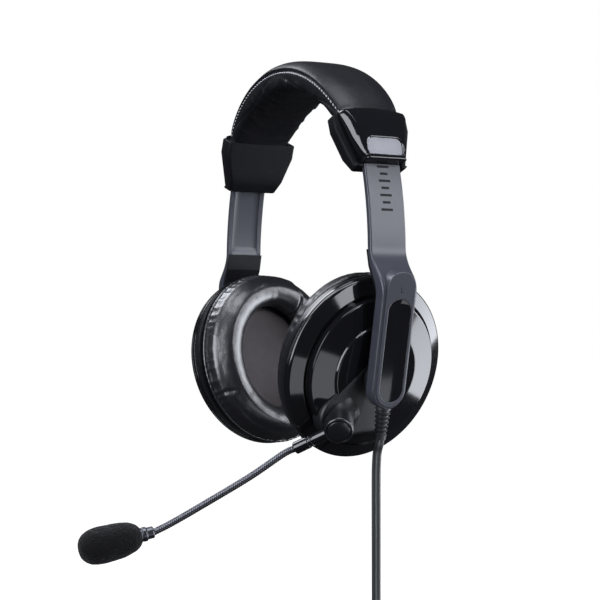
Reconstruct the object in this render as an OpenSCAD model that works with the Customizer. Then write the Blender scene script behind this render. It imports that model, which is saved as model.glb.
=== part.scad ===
// Headset with a boom microphone: padded headband, two sliding arms, two tilting ear cups.
// Origin at the underside of the headband pad at its crown. +Z up, the wearer faces -Y,
// and the wearer's left (+X) carries the microphone and the lead. Millimetres.

/* [Headband] */
// Radius of the arch, along the top of the pad
arch_r = 80; // [74:1:92]
// Thickness of the pad at the crown
pad_t = 15; // [11:0.5:20]
// Thickness of the pad where it enters the end caps
pad_end_t = 10; // [8:0.5:12]
// Width of the pad at the end caps
pad_w = 34; // [28:1:40]
// Swelling of each side of the pad between the end caps
pad_swell = 4; // [1:0.5:5]
// Swelling of the pad's top between the end caps
pad_rise = 1.6; // [0.4:0.2:2.4]
// Angle of the arch at which the pad ends, above the horizontal
pad_end_angle = 30; // [27:0.5:33]
// Width of the spring band
spring_w = 18; // [12:1:20]
// Thickness of the spring band
spring_t = 0.8; // [0.6:0.1:1.2]
// Depth of the spring band under the top of the pad
spring_depth = 8.6; // [8:0.1:9]

/* [End caps] */
// Width of an end cap at its upper edge
cap_top_w = 41; // [38:0.5:46]
// Width of an end cap at its lower edge
cap_bottom_w = 27; // [26:0.5:32]
// Height of an end cap
cap_h = 31; // [28:0.5:34]
// Lean of an end cap
cap_lean = 20; // [16:1:24]
// Distance of the inner face from the middle of the strap
cap_in = 9; // [7:0.5:12]
// Distance of the outer face from the middle of the strap
cap_out = 8; // [7:0.5:10]
// Radius of the rounded outer face
cap_face_r = 46; // [38:1:70]
// Width of the thumb scoop
scoop_w = 21; // [16:0.5:23]
// Height of the thumb scoop
scoop_h = 10; // [7:0.5:11]
// Depth of the thumb scoop
scoop_d = 1.8; // [0.8:0.1:2.4]

/* [Arms] */
// Width of a strap
strap_w = 20.6; // [18:0.2:23]
// Thickness of a strap
strap_t = 3; // [2.4:0.1:3.4]
// Radius that a strap curves to
strap_r = 162; // [140:1:200]
// Distance of the straps outside the pad's ends
strap_off = 2.2; // [1:0.1:3]
// Distance below the pad's ends at which the straps leave the caps
strap_drop = 22; // [20:0.5:24]
// Length of the left strap below its cap
left_out = 39; // [30:0.1:42]
// Length of the right strap below its cap
right_out = 35.4; // [30:0.1:42]
// Length of strap inside the cap at the left arm's rest
strap_in = 10.5; // [9:0.5:12]
// Distance between two clicks
click = 3.6; // [3:0.1:3.8]
// Number of marks on a strap
marks = 7; // [3:1:7]
// Width of the lower arm
arm_w = 19.2; // [18:0.2:21]
// Thickness of the lower arm
arm_t = 6.8; // [6.2:0.1:8]
// Width of the raised plate
plate_w = 16; // [14:0.2:17]
// Height of the raised plate
plate_t = 1.2; // [0.8:0.1:1.6]
// Width of the gloss insert
insert_w = 13; // [9:0.2:13.4]
// Length of the gloss insert
insert_l = 51; // [40:0.5:54]
// Thickness of the inner cover
cover_t = 1.3; // [1:0.1:1.6]

/* [Ear cups] */
// Radius of the cup shell
shell_r = 46.5; // [44:0.5:48]
// Height of the raised middle of the shell over its edge
shell_h = 9.8; // [9:0.1:10]
// Radius of the raised disc
disc_r = 24; // [20:0.5:26]
// Wall of the shell
shell_wall = 2; // [1.4:0.1:2.4]
// Depth of the skirt behind the edge
skirt = 4; // [3:0.1:6]
// Lean of the lower arms, lower ends inwards
arm_lean = 12; // [8:0.5:14]
// Tilt of the left cup on its arm, lower edge inwards
left_tilt = 4; // [-6:0.5:5]
// Tilt of the right cup on its arm, lower edge inwards
right_tilt = 0; // [-6:0.5:5]
// Turn of the left cup on its arm, rear edge outwards
left_turn = -6; // [-10:0.5:10]
// Turn of the right cup on its arm, rear edge outwards
right_turn = 8; // [-10:0.5:10]
// Distance of the pivot from the shell's edge plane
pivot_out = 16; // [15.8:0.1:17]
// Distance of the pivot below the middle of the cup
pivot_drop = 1; // [0:0.5:8]
// Radius of the ball
ball_r = 2.8; // [2.4:0.1:3]
// Radius of the pivot boss
boss_r = 9.5; // [8:0.1:10.5]
// Thickness of the baffle
baffle_t = 2.6; // [2:0.1:3.4]
// Radius of the loudspeaker
driver_r = 20; // [16:0.5:24]

/* [Ear cushions] */
// Height of a cushion
cushion_h = 94; // [88:1:100]
// Width of a cushion
cushion_w = 88; // [82:1:94]
// Thickness of a cushion
cushion_t = 16; // [12:0.5:22]
// Height of the ear opening
ear_h = 56; // [48:1:60]
// Width of the ear opening
ear_w = 44; // [38:1:48]

/* [Boom microphone] */
// Distance of the boom pivot in front of the middle of the cup
boom_front = 19.5; // [17:0.5:24]
// Distance of the boom pivot below the middle of the cup
boom_drop = 21.5; // [20:0.5:26]
// Tilt of the boom pivot from the cup's axis
knob_tilt = 36; // [25:1:40]
// Direction of that tilt, from straight down towards the front
knob_turn = 64; // [50:1:70]
// Radius of the knob
knob_r = 7.2; // [6.4:0.1:8.5]
// Height of the knob
knob_h = 8; // [7:0.1:10]
// Length of the neck under the knob
neck_h = 5; // [4:0.1:7]
// Radius of the swivel pin
swivel_r = 2.2; // [1.6:0.1:2.6]
// Radius of the boom sleeve
sleeve_r = 3.1; // [2.6:0.1:3.5]
// Radius of the gooseneck
neck_r = 1.75; // [1.4:0.05:2]
// Radius of the gooseneck's bore
neck_bore_r = 0.9; // [0.6:0.05:1.1]
// Distance between the gooseneck's ribs
rib_pitch = 1.6; // [1.4:0.1:3]
// Length of the foam windscreen
foam_l = 32; // [28:1:40]
// Radius of the foam windscreen at its thick end
foam_r = 9.2; // [8.4:0.2:11]
// Radius of the microphone housing
mic_r = 4.2; // [3.6:0.1:5]

/* [Lead] */
// Width of the twin lead
lead_w = 5; // [4.6:0.1:5.1]
// Thickness of the twin lead
lead_t = 2.6; // [2.4:0.1:2.7]
// Length of the strain relief
relief_l = 17; // [12:0.5:18]
// Diameter of the headphone plug
phone_plug_d = 6.35; // [6:0.05:6.5]
// Diameter of the microphone plug
mic_plug_d = 5.23; // [5:0.05:5.5]
// Length of each plug's barrel
plug_l = 30; // [25:1:32]
// Radius of each plug's handle
handle_r = 5.2; // [4.6:0.1:6]

/* [Clearances] */
// Running clearance of a strap in its cap
strap_gap = 0.3; // [0.2:0.05:0.5]
// Radial clearance of a turning fit
turn_gap = 0.06; // [0.04:0.01:0.1]
// Clearance between pieces that lie side by side
lay_gap = 0.3; // [0.2:0.05:0.4]

/* [Hidden] */
$fn = 64;
e = 0.01;
gloss = [0.03, 0.03, 0.035];
satin = [0.36, 0.37, 0.42];
hide = [0.07, 0.07, 0.08];
steel = [0.72, 0.73, 0.75];
rubber = [0.12, 0.12, 0.13];

// The arch of the headband turns about the Y axis at arch_z
arch_z = pad_t - arch_r;
spring_r = arch_r - spring_depth;
spring_end_angle = 17;
pad_rows = 36;
pad_sides = 20;
pad_seam = 0.9;
pad_crown = 1.4;

// The straps turn about the Y axis at [strap_cx, strap_cz]
strap_x = arch_r * cos(pad_end_angle) + strap_off;
strap_z = arch_z + arch_r * sin(pad_end_angle) - strap_drop;
strap_lean = 14;
strap_cx = strap_x - strap_r * cos(strap_lean);
strap_cz = strap_z - strap_r * sin(strap_lean);
strap_hole = 30;
function arc_deg(length) = length / strap_r * 180 / PI;
shoulder_deg = strap_lean - arc_deg(left_out);
mark_w = 0.9;
mark_first = 1.2;
mark_d = 0.4;
mark_long = 6.6;
mark_short = 4.4;

// End cap: the middle of the strap passes through the middle of its lower edge
cap_low = [strap_x, 0, strap_z];
cap_outer_low = 3.5;
cap_lip = 1.5;
cap_slope = [4.05, 9.3];
cap_side_h = cap_h - 7.75;
scoop_low = 2.4;
cap_split = 0;
cap_bulge = 12;
cap_top_angle = atan2(cap_low.z - cap_in * sin(cap_lean) + cap_h * cos(cap_lean) - arch_z,
  cap_low.x - cap_in * cos(cap_lean) - cap_h * sin(cap_lean));
cap_screw_at = [cap_bottom_w / 2 - 0.2, 15.5];

// Pivot of the left cup, at the left arm's rest
strap_end = [strap_cx + strap_r * cos(shoulder_deg), strap_cz + strap_r * sin(shoulder_deg)];
pivot_in = 2.701;
pivot_low = 63.113;
pivot_c = [strap_end.x - pivot_in, 0, strap_end.y - pivot_low];
// Rings of the shell: a sloping band, a groove, a step up, a nearly flat facet, and the disc
groove_r = shell_r - 7.5;
groove_w = 2;
groove_d = 0.8;
band_h = 3.2;
facet_out = groove_r - groove_w;
facet_h = 6.6;
disc_step = 1.2;
baffle_z = -skirt - baffle_t;
cushion_back = baffle_z - lay_gap;
cloth_t = 0.6;
cushion_around = 44;
cushion_section = 16;
cushion_seam = 0.8;
post_r = shell_r - 9.5;
screw_r = 1.4;
screw_head_r = 2.6;
screw_head_h = 1.4;
small_screw_r = 1.1;
small_head_r = 2.2;
screw_post_r = 3.2;
screw_reach = 5;
flare_hole = 3.3;

// Lower arm, in its own frame: x down, z outwards
pivot_at = 5;
arm_out = pivot_out + 6;
arm_in = arm_out - arm_t;
arm_low = 9;
arm_end = arm_low + arm_w / 2;
arm_top = -41.8;
taper_from = -46;
taper_to = -36;
plate_margin = 1.2;
arm_wall = 1.9;
cover_in = arm_in - cover_t;
boss_low = cover_in - 1.1;
socket_r = boss_r - 2;
bush_r = ball_r + 1.4;
socket_top = pivot_out + bush_r + 0.4;
bush_h = 9;
stem_r = 1.6;
stem_hole_r = 2.45;
hub_r = 4.5;
hub_top = shell_h + 0.7;
hub_room = 1.2;
shoulder = [-57.2, 4.2];
flare_out = [[-57.2, 7.2], [-52, 10.6], [-47.5, arm_out - 6.5], [-44, arm_out - 2.4], [-40, arm_out]];
flare_in = [[-38, arm_in], [-44, arm_in - 2.4], [-50, arm_in - 7.4], shoulder];
flare_mid = (flare_in[1] + flare_in[2]) / 2;
flare_rise = flare_in[1] - flare_in[2];
cover_step = 0.6;
insert_top = arm_top + 5.5;
insert_seat = 1.6;
pocket_top = -34;
pocket_end = 6;
pocket_side = 2;
arm_screw_x = -18;
stem_low = shell_h - 2.4;

// Boom: offsets of its points from the middle of the knob
boom_line = [[-17, -14.3, -10.5], [-30.5, -33, -25], [-44, -53, -39.5], [-51, -65, -47.5],
  [-55.8, -76, -52.5]];
boom_tip = [-63.8, -104, -59];
sleeve_l = 25;
sleeve_grooves = [14, 16];
sleeve_groove_w = 1;
sleeve_groove_d = 0.5;
sleeve_edge = 0.6;
bend_at = 2;
bend_ball = 1.5;
bend_fn = 16;
bend_back = 1;
bend_ahead = 0.9;
knob_base = [boom_drop, -boom_front, shell_h];
mount_big_r = 15;
mount_r = 9;
mount_rise = 0.6;
pin_l = knob_h - 2.6;
cap_inset_r = knob_r - 1.5;
cap_dome_r = 22;
sleeve_in = 4.6;
rib_d = 0.25;
neck_grip = 5.9;
neck_lead = 7;
neck_steps = 24;
collar_tail = 4;
neck_ref = [0, 0, 1];
bore_rows = 8;
neck_sides = 8;
collar_l = 5;
housing_l = 20;
capsule_h = 5;
foam_start = 2.2;

// Lead: points of the hanging stretch, then the hank below it
relief_seat = 1.2;
relief_x = arm_end - relief_seat;
relief_z = arm_in + 2.8;
relief_r = 3.8;
relief_ribs = 6;
stub_r = 1.8;
stub_l = 3.4;
lead_x = 66;
lead_end = -294;
lead_line = [[67, 0, -185], [66.3, 0, -191], [lead_x, 0, -198], [lead_x, 0, -225], [lead_x, 0, -260],
  [lead_x, 0, lead_end]];
lead_ref = [0, 1, 0];
hank_in = 15;
hank_step = 3.8;
hank_layer = lead_w + 0.6;
hank_turns = 3;
hank_run = 36;
hank_draw = 5;
hank_z = lead_end - hank_run / 2;
hank_out = hank_in + hank_step * (hank_turns + 1 / 8);
hank_x = lead_x - hank_out;
tie_h = 10;
tie_t = 1;
split_z = hank_z - hank_run / 2 - 30;
split_l = 12;
single_l = 32;
plug_z = split_z - split_l - single_l;
grip_l = 24;
plug_tail = 12;
plug_tail_r = 1.6;
plug_nose = 5;
plug_groove = 1.6;
plug_apart = 16;

// Places
module arc_shift(d) {
  translate([strap_cx, 0, strap_cz])
    rotate([0, arc_deg(d), 0])
      translate([-strap_cx, 0, -strap_cz]) children();
}
module right_side() {
  mirror([1, 0, 0]) arc_shift(right_out - left_out) children();
}
module right_cap_place() {
  mirror([1, 0, 0]) children();
}
// Lower arm: x down it, y back, z outwards, with the pivot at [pivot_at, 0, pivot_out]
module arm_frame() {
  translate(pivot_c) rotate([0, 90 + arm_lean, 0]) translate([-pivot_at, 0, -pivot_out]) children();
}
// Cup at rest: turned on the bush, then tilted on the ball, with the pivot at [pivot_drop, 0, pivot_out]
module bush_frame(turn) {
  translate(pivot_c) rotate([0, 90 + arm_lean, 0]) rotate([turn, 0, 0]) children();
}
module cup_frame(turn, tilt) {
  bush_frame(turn) rotate([0, tilt, 0]) translate([-pivot_drop, 0, -pivot_out]) children();
}
function turn_x(v, a) = [v.x, v.y * cos(a) - v.z * sin(a), v.y * sin(a) + v.z * cos(a)];
function turn_y(v, a) = [v.x * cos(a) + v.z * sin(a), v.y, v.z * cos(a) - v.x * sin(a)];
function arm_point(p) = pivot_c + turn_y(p - [pivot_at, 0, pivot_out], 90 + arm_lean);
function left_point(p) = pivot_c
  + turn_y(turn_x(turn_y(p - [pivot_drop, 0, pivot_out], left_tilt), left_turn), 90 + arm_lean);
module left_cup() {
  cup_frame(left_turn, left_tilt) children();
}
module right_cup() {
  right_side() cup_frame(right_turn, right_tilt) children();
}
function unit(v) = v / norm(v);
module aim(from, dir) {
  d = unit(dir);
  translate(from) rotate([0, acos(d.z), atan2(d.y, d.x)]) children();
}
// x across the cap towards its outer face, z up along it
module cap_frame() {
  translate(cap_low) rotate([0, -cap_lean, 0]) children();
}
// Sweep of a section about a Y axis: section x is the radius, section y becomes Y
module about_y(from, to) {
  rotate([90, 0, 0]) rotate([0, 0, from]) rotate_extrude(angle = to - from, $fn = 180)
    mirror([0, 1]) children();
}

// Curves: points along a smooth line through the given ones, and tubes along them
function smooth(p, i, t) = let (
    a = p[max(i - 1, 0)], b = p[i], c = p[i + 1], d = p[min(i + 2, len(p) - 1)])
  0.5 * (2 * b + (c - a) * t + (2 * a - 5 * b + 4 * c - d) * t * t + (3 * b - a - 3 * c + d) * t * t * t);
function smooth_line(p, n) = concat(
  [for (i = [0:len(p) - 2], k = [0:n - 1]) smooth(p, i, k / n)], [p[len(p) - 1]]);
function tangent(p, i) = unit(p[min(i + 1, len(p) - 1)] - p[max(i - 1, 0)]);
// One ring of a tube at point i: half width a along the reference, half width b across it
function ring(p, i, ref, a, b, n) = let (
    t = tangent(p, i), v = unit(cross(t, ref)), u = cross(v, t))
  [for (k = [0:n - 1]) p[i] + u * a * cos(360 * k / n) + v * b * sin(360 * k / n)];
// Faces that close a stack of rings: its side and its two ends
function closed_skin(rows, n) = concat(
  [for (i = [0:rows - 2], k = [0:n - 1], half = [0, 1]) let (q = i * n + k, r = i * n + (k + 1) % n)
    half == 0 ? [q, q + n, r] : [r, q + n, r + n]],
  [for (k = [1:n - 2]) [0, k, k + 1]],
  [for (k = [1:n - 2]) [(rows - 1) * n, (rows - 1) * n + k + 1, (rows - 1) * n + k]]);
module tube(p, ref, a, b, n) {
  polyhedron([for (i = [0:len(p) - 1]) each ring(p, i, ref, a, b, n)], closed_skin(len(p), n));
}

// Headband
module spring_section(gap) {
  translate([spring_r, 0]) square([spring_t + 2 * gap, spring_w + 2 * gap], center = true);
}
module spring_sweep(gap, end) {
  translate([0, 0, arch_z]) about_y(end, 180 - end) spring_section(gap);
}
module headband_spring() {
  color(steel) spring_sweep(0, spring_end_angle);
}
// The pad's section at an angle of the arch: crowned top, sides drawn in at the seams
function pad_thickness(a) = let (w = (a - pad_end_angle) * 180 / (180 - 2 * pad_end_angle))
  pad_end_t + (pad_t - pad_end_t) * pow(max(sin(w), 0), 0.8);
function pad_puff(a) = pow(max(sin((a - cap_top_angle) * 180 / (180 - 2 * cap_top_angle)), 0), 0.6);
function pad_point(a, k) = let (
    s = -360 * k / pad_sides,
    c = sign(cos(s)) * pow(abs(cos(s)), 0.45),
    h = sign(sin(s)) * pow(abs(sin(s)), 0.62),
    t = pad_thickness(a),
    puff = pad_puff(a),
    draw = pad_seam * exp(-pow((h - 0.35) / 0.22, 2)),
    y = c * (pad_w / 2 + pad_swell * puff - draw),
    r = arch_r - t / 2 + h * t / 2 + (pad_rise * puff - pad_crown * pow(abs(c), 3)) * max(h, 0))
  [r * cos(a), y, arch_z + r * sin(a)];
module pad_form() {
  span = 180 - 2 * pad_end_angle;
  points = [for (i = [0:pad_rows - 1], k = [0:pad_sides - 1])
    pad_point(pad_end_angle + span * i / (pad_rows - 1), k)];
  polyhedron(points, closed_skin(pad_rows, pad_sides));
}
module strap_channel(top) {
  translate([strap_cx, 0, strap_cz])
    about_y(strap_lean - 4, strap_lean + arc_deg(top))
      translate([strap_r, 0]) square([strap_t + 2 * strap_gap, strap_w + 2 * strap_gap], center = true);
}
module headband_pad() {
  color(hide) difference() {
    pad_form();
    spring_sweep(lay_gap, pad_end_angle - 2);
    strap_channel(strap_hole);
    mirror([1, 0, 0]) strap_channel(strap_hole);
  }
}

// End caps
module cap_outline() {
  polygon([[-cap_bottom_w / 2, 0], [cap_bottom_w / 2, 0], [cap_top_w / 2, cap_side_h],
    [cap_top_w / 2, cap_h], [-cap_top_w / 2, cap_h], [-cap_top_w / 2, cap_side_h]]);
}
module cap_side() {
  intersection() {
    polygon([[cap_slope.x - cap_in, 0], [cap_lip, 0], [cap_lip, cap_outer_low], [cap_out, cap_outer_low],
      [cap_out, cap_h], [-cap_in, cap_h], [-cap_in, cap_slope.y]]);
    translate([cap_out - cap_face_r, cap_bulge]) circle(r = cap_face_r, $fn = 180);
  }
}
module scoop() {
  low = cap_outer_low + scoop_low;
  r = scoop_w * 0.65;
  translate([cap_out - scoop_d, 0, 0]) rotate([90, 0, 90]) linear_extrude(scoop_d + 1) intersection() {
    translate([-scoop_w / 2, low]) square([scoop_w, scoop_h]);
    translate([0, low + scoop_h - r]) circle(r = r);
  }
}
module cap_body() {
  difference() {
    cap_frame() difference() {
      intersection() {
        rotate([90, 0, 90]) translate([0, 0, -30]) linear_extrude(60) cap_outline();
        rotate([90, 0, 0]) translate([0, 0, -30]) linear_extrude(60) cap_side();
      }
      scoop();
    }
    pad_room();
    spring_sweep(lay_gap / 2, spring_end_angle);
    strap_channel(strap_hole);
  }
}
// Space that the pad's end takes in a cap
module pad_room() {
  room = pad_thickness(cap_top_angle);
  translate([0, 0, arch_z]) about_y(pad_end_angle - 0.3, 60)
    translate([arch_r + lay_gap - (room + 2 * lay_gap), -pad_w / 2 - lay_gap])
      square([room + 2 * lay_gap, pad_w + 2 * lay_gap]);
}
module cap_half(outer) {
  intersection() {
    cap_body();
    cap_frame() translate([outer ? cap_split : cap_split - 40, -40, -5]) cube([40, 80, 60]);
  }
}
module cap_screw_pair() {
  for (s = [-1, 1]) cap_frame() translate([-cap_in, s * cap_screw_at.x, cap_screw_at.y]) rotate([0, 90, 0]) {
    translate([0, 0, -e]) cylinder(r = small_head_r, h = screw_head_h + e);
    cylinder(r = small_screw_r, h = cap_in + 3);
  }
}
module cap_outer() {
  color(gloss) difference() { cap_half(true); cap_screw_pair(); }
}
module cap_inner() {
  color(gloss) difference() { cap_half(false); cap_screw_pair(); }
}
module left_cap_outer() { cap_outer(); }
module left_cap_inner() { cap_inner(); }
module right_cap_outer() { right_cap_place() cap_outer(); }
module right_cap_inner() { right_cap_place() cap_inner(); }
module cap_screws() {
  color(steel) { cap_screw_pair(); right_cap_place() cap_screw_pair(); }
}

// Arms
module strap_section() {
  lip = 2.4;
  floor_t = strap_t - 1;
  polygon([[strap_t / 2, -strap_w / 2], [strap_t / 2, strap_w / 2], [-strap_t / 2, strap_w / 2],
    [-strap_t / 2, strap_w / 2 - lip], [strap_t / 2 - floor_t, strap_w / 2 - lip],
    [strap_t / 2 - floor_t, lip - strap_w / 2], [-strap_t / 2, lip - strap_w / 2],
    [-strap_t / 2, -strap_w / 2]]);
}
module strap_marks() {
  for (i = [0:marks - 1]) {
    long = i % 2 == 0 ? mark_long : mark_short;
    turn = strap_lean + arc_deg(cap_outer_low - mark_first - click * i);
    translate([strap_cx, 0, strap_cz]) rotate([0, -turn, 0])
      translate([strap_r + strap_t / 2 - mark_d, -long / 2, -mark_w / 2]) cube([1, long, mark_w]);
  }
}
module strap() {
  difference() {
    translate([strap_cx, 0, strap_cz]) about_y(shoulder_deg - 0.5, strap_lean + arc_deg(strap_in))
      translate([strap_r, 0]) strap_section();
    strap_marks();
  }
}
// Outline of the lower arm from outside: straight sides and a round lower end
module arm_outline(w) {
  translate([arm_low, 0]) circle(d = w);
  polygon([[shoulder.x, -strap_w / 2], [taper_from, -strap_w / 2], [taper_to, -w / 2], [arm_low, -w / 2],
    [arm_low, w / 2], [taper_to, w / 2], [taper_from, strap_w / 2], [shoulder.x, strap_w / 2]]);
}
module stadium(from, to, w) {
  translate([from + w / 2, 0]) circle(d = w);
  translate([to - w / 2, 0]) circle(d = w);
  translate([from + w / 2, -w / 2]) square([to - from - w, w]);
}
module arm_side() {
  polygon(concat(flare_out, [[arm_end + 1, arm_out], [arm_end + 1, arm_in]], flare_in));
}
module cover_side() {
  polygon(concat([[arm_end - plate_margin, arm_in]], flare_in, [shoulder - [0, cover_t]],
    [for (i = [2:-1:0]) flare_in[i] + [cover_step, -cover_t]], [[arm_end - plate_margin, cover_in]]));
}
module arm_pocket() {
  pocket = [arm_low - pocket_top - pocket_end, arm_w - 2 * pocket_side, arm_t - arm_wall];
  translate([pocket_top, -pocket.y / 2, arm_in - e]) cube(pocket);
  translate([pivot_at, 0, arm_in - e]) cylinder(r = socket_r + lay_gap, h = socket_top + lay_gap - arm_in);
}
module arm() {
  color(satin) {
    difference() {
      union() {
        strap();
        arm_frame() {
          intersection() {
            translate([0, 0, -20]) linear_extrude(60) arm_outline(arm_w);
            rotate([90, 0, 0]) translate([0, 0, -20]) linear_extrude(40) arm_side();
          }
          translate([0, 0, arm_out - e]) linear_extrude(plate_t + e)
            stadium(arm_top - plate_w / 2, arm_end - plate_margin, plate_w);
        }
      }
      arm_frame() {
        arm_pocket();
        translate([0, 0, arm_out + plate_t - insert_seat]) linear_extrude(insert_seat + 1)
          stadium(insert_top, insert_top + insert_l, insert_w);
        screw_post_holes();
      }
      aim(relief_foot, relief_dir) {
        relief_stub();
        cylinder(r = relief_r + turn_gap, h = 2 * relief_seat);
      }
    }
    arm_frame() screw_posts();
  }
}
// The screw that holds the cover stands in a post on the arm's outer wall
module screw_posts() {
  difference() {
    translate([arm_screw_x, 0, arm_in]) cylinder(r = screw_post_r, h = arm_t - arm_wall);
    screw_post_holes();
  }
}
module screw_post_holes() {
  translate([arm_screw_x, 0, arm_in - 1]) cylinder(r = small_screw_r, h = screw_reach + 1 - cover_t);
  flare_screw() cylinder(r = small_screw_r, h = flare_hole);
}
module flare_screw() {
  translate([flare_mid.x, 0, flare_mid.y]) rotate([0, -atan2(flare_rise.y, flare_rise.x), 0]) children();
}
module arm_insert() {
  color(gloss) arm_frame() translate([0, 0, arm_out + plate_t - insert_seat])
    linear_extrude(insert_seat) stadium(insert_top, insert_top + insert_l, insert_w);
}
// Inner cover with the boss that holds the pivot bush
module arm_cover() {
  color(gloss) difference() {
    arm_frame() cover_body();
    strap_room();
  }
}
module strap_room() {
  translate([strap_cx, 0, strap_cz]) about_y(shoulder_deg - 1, strap_lean)
    translate([strap_r, 0]) square([strap_t + 2 * turn_gap, strap_w + 2 * turn_gap], center = true);
}
module cover_body() {
  difference() {
    union() {
      intersection() {
        translate([0, 0, -20]) linear_extrude(60) arm_outline(arm_w - 1.6);
        rotate([90, 0, 0]) translate([0, 0, -20]) linear_extrude(40) cover_side();
      }
      translate([pivot_at, 0, boss_low]) cylinder(r = boss_r, h = arm_in - boss_low);
      translate([pivot_at, 0, boss_low]) cylinder(r = socket_r, h = socket_top - boss_low);
    }
    translate([pivot_at - bush_h / 2 - turn_gap, 0, pivot_out]) rotate([0, 90, 0])
      cylinder(r = bush_r + turn_gap, h = bush_h + 2 * turn_gap);
    translate([pivot_at, 0, boss_low - 1]) cylinder(r = bush_r - 0.5, h = 4);
    translate([arm_screw_x, 0, cover_in - e]) cylinder(r = small_screw_r, h = cover_t + 1);
    translate([arm_screw_x, 0, cover_in - 1]) cylinder(r = small_head_r, h = 1.7);
    flare_screw() translate([0, 0, -3]) cylinder(r = small_screw_r, h = 5);
    flare_screw() translate([0, 0, -3]) cylinder(r = small_head_r, h = 3 - 0.6);
  }
}
module arm_screws() {
  color(steel) arm_frame() {
    translate([arm_screw_x, 0, cover_in + 0.7 - 1]) cylinder(r = small_head_r, h = 1);
    translate([arm_screw_x, 0, cover_in]) cylinder(r = small_screw_r, h = 4.2);
    flare_screw() translate([0, 0, -1.6]) cylinder(r = small_head_r, h = 1);
    flare_screw() translate([0, 0, -1]) cylinder(r = small_screw_r, h = 4.2);
  }
}
module left_arm() { arm(); }
module left_arm_insert() { arm_insert(); }
module left_arm_cover() { arm_cover(); }
module left_arm_screws() { arm_screws(); }
module right_arm() { right_side() arm(); }
module right_arm_insert() { right_side() arm_insert(); }
module right_arm_cover() { right_side() arm_cover(); }
module right_arm_screws() { right_side() arm_screws(); }

// Pivot: a ball stud on the cup tilts in a bush that turns in the arm's boss
module pivot_bush() {
  color(rubber) difference() {
    translate([-bush_h / 2, 0, 0]) rotate([0, 90, 0]) cylinder(r = bush_r, h = bush_h);
    sphere(r = ball_r + turn_gap);
    translate([0, 0, -bush_r - 1]) cylinder(r = stem_hole_r, h = bush_r + 1);
  }
}
module ball_stud() {
  color(steel) translate([pivot_drop, 0, 0]) {
    translate([0, 0, pivot_out]) sphere(r = ball_r);
    translate([0, 0, stem_low]) cylinder(r = stem_r, h = pivot_out - stem_low);
  }
}
module left_pivot_bush() { bush_frame(left_turn) pivot_bush(); }
module right_pivot_bush() { right_side() bush_frame(right_turn) pivot_bush(); }
module left_ball_stud() { left_cup() ball_stud(); }
module right_ball_stud() { right_cup() ball_stud(); }

// Ear cups
module shell_profile() {
  w = shell_wall;
  low = band_h - groove_d - w;
  polygon(concat(shell_face(groove_d), [[shell_r, -skirt], [shell_r - w, -skirt], [shell_r - w, -w],
    [groove_r - 1, low], [facet_out - w, low], [facet_out - w, facet_h - w],
    [disc_r - w, shell_h - disc_step - w], [disc_r - w, shell_h - w], [0, shell_h - w]]));
}
// Outer face of the shell from its middle to its edge, with the groove to a depth
function shell_face(depth) = [[0, shell_h], [disc_r - 0.5, shell_h], [disc_r, shell_h - 0.5],
  [disc_r + 0.4, shell_h - disc_step], [facet_out - 0.5, facet_h], [facet_out, facet_h - 0.5],
  [facet_out, band_h - depth], [groove_r, band_h - depth], [groove_r, band_h], [shell_r - 0.7, 0.5],
  [shell_r, -0.5]];
module posts() {
  for (a = [60, 180, 300]) rotate([0, 0, a]) translate([post_r, 0, 0]) children();
}
module cup_shell() {
  color(gloss) difference() {
    union() {
      rotate_extrude($fn = 128) shell_profile();
      translate([pivot_drop, 0, stem_low - 0.6]) cylinder(r = hub_r, h = hub_top - stem_low + 0.6);
      posts() translate([0, 0, -skirt]) cylinder(r = 3, h = skirt + 0.6);
    }
    translate([pivot_drop, 0, stem_low]) cylinder(r = stem_r, h = 20);
    posts() translate([0, 0, -skirt - e]) cylinder(r = screw_r, h = 4);
  }
}
module baffle() {
  color(gloss) difference() {
    translate([0, 0, baffle_z]) cylinder(r = shell_r - 0.6, h = baffle_t, $fn = 128);
    translate([0, 0, baffle_z - 1]) cylinder(r = driver_r - 1.6, h = baffle_t + 2);
    posts() translate([0, 0, baffle_z - 1]) cylinder(r = screw_r, h = baffle_t + 2);
    posts() translate([0, 0, baffle_z - 1]) cylinder(r = screw_head_r, h = screw_head_h + 1);
  }
}
module driver() {
  color(steel) {
    translate([0, 0, -skirt]) cylinder(r = driver_r, h = 3);
    translate([0, 0, -skirt + 3]) cylinder(r = driver_r * 0.55, h = 4);
    translate([0, 0, -skirt - 1.2]) cylinder(r = driver_r - 2, h = 1.2 + e);
  }
}
module speaker_cloth() {
  color([0.24, 0.22, 0.23]) translate([0, 0, baffle_z - cloth_t]) linear_extrude(cloth_t)
    stadium(-ear_h / 2 + 1, ear_h / 2 - 1, ear_w - 2);
}
// Crowned front, flat back, sides drawn in at the seam that runs round them
function cushion_point(a, k) = let (
    s = 360 * k / cushion_section,
    c = sign(cos(s)) * pow(abs(cos(s)), 0.62),
    h = sign(sin(s)) * pow(abs(sin(s)), sin(s) > 0 ? 0.35 : 0.7),
    draw = cushion_seam * exp(-pow((h - 0.35) / 0.3, 2)),
    mid_x = (cushion_h + ear_h) / 4, half_x = (cushion_h - ear_h) / 4 - draw,
    mid_y = (cushion_w + ear_w) / 4, half_y = (cushion_w - ear_w) / 4 - draw)
  [(mid_x + half_x * c) * cos(a), (mid_y + half_y * c) * sin(a), cushion_back + (h - 1) * cushion_t / 2];
module ear_cushion() {
  n = cushion_section;
  m = cushion_around;
  points = [for (i = [0:m - 1], k = [0:n - 1]) cushion_point(360 * i / m, k)];
  faces = [for (i = [0:m - 1], k = [0:n - 1], half = [0, 1]) let (
      q = i * n + k, r = i * n + (k + 1) % n, s = (q + n) % (m * n), t = (r + n) % (m * n))
    half == 0 ? [q, r, s] : [r, t, s]];
  color(hide) polyhedron(points, faces);
}
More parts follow.
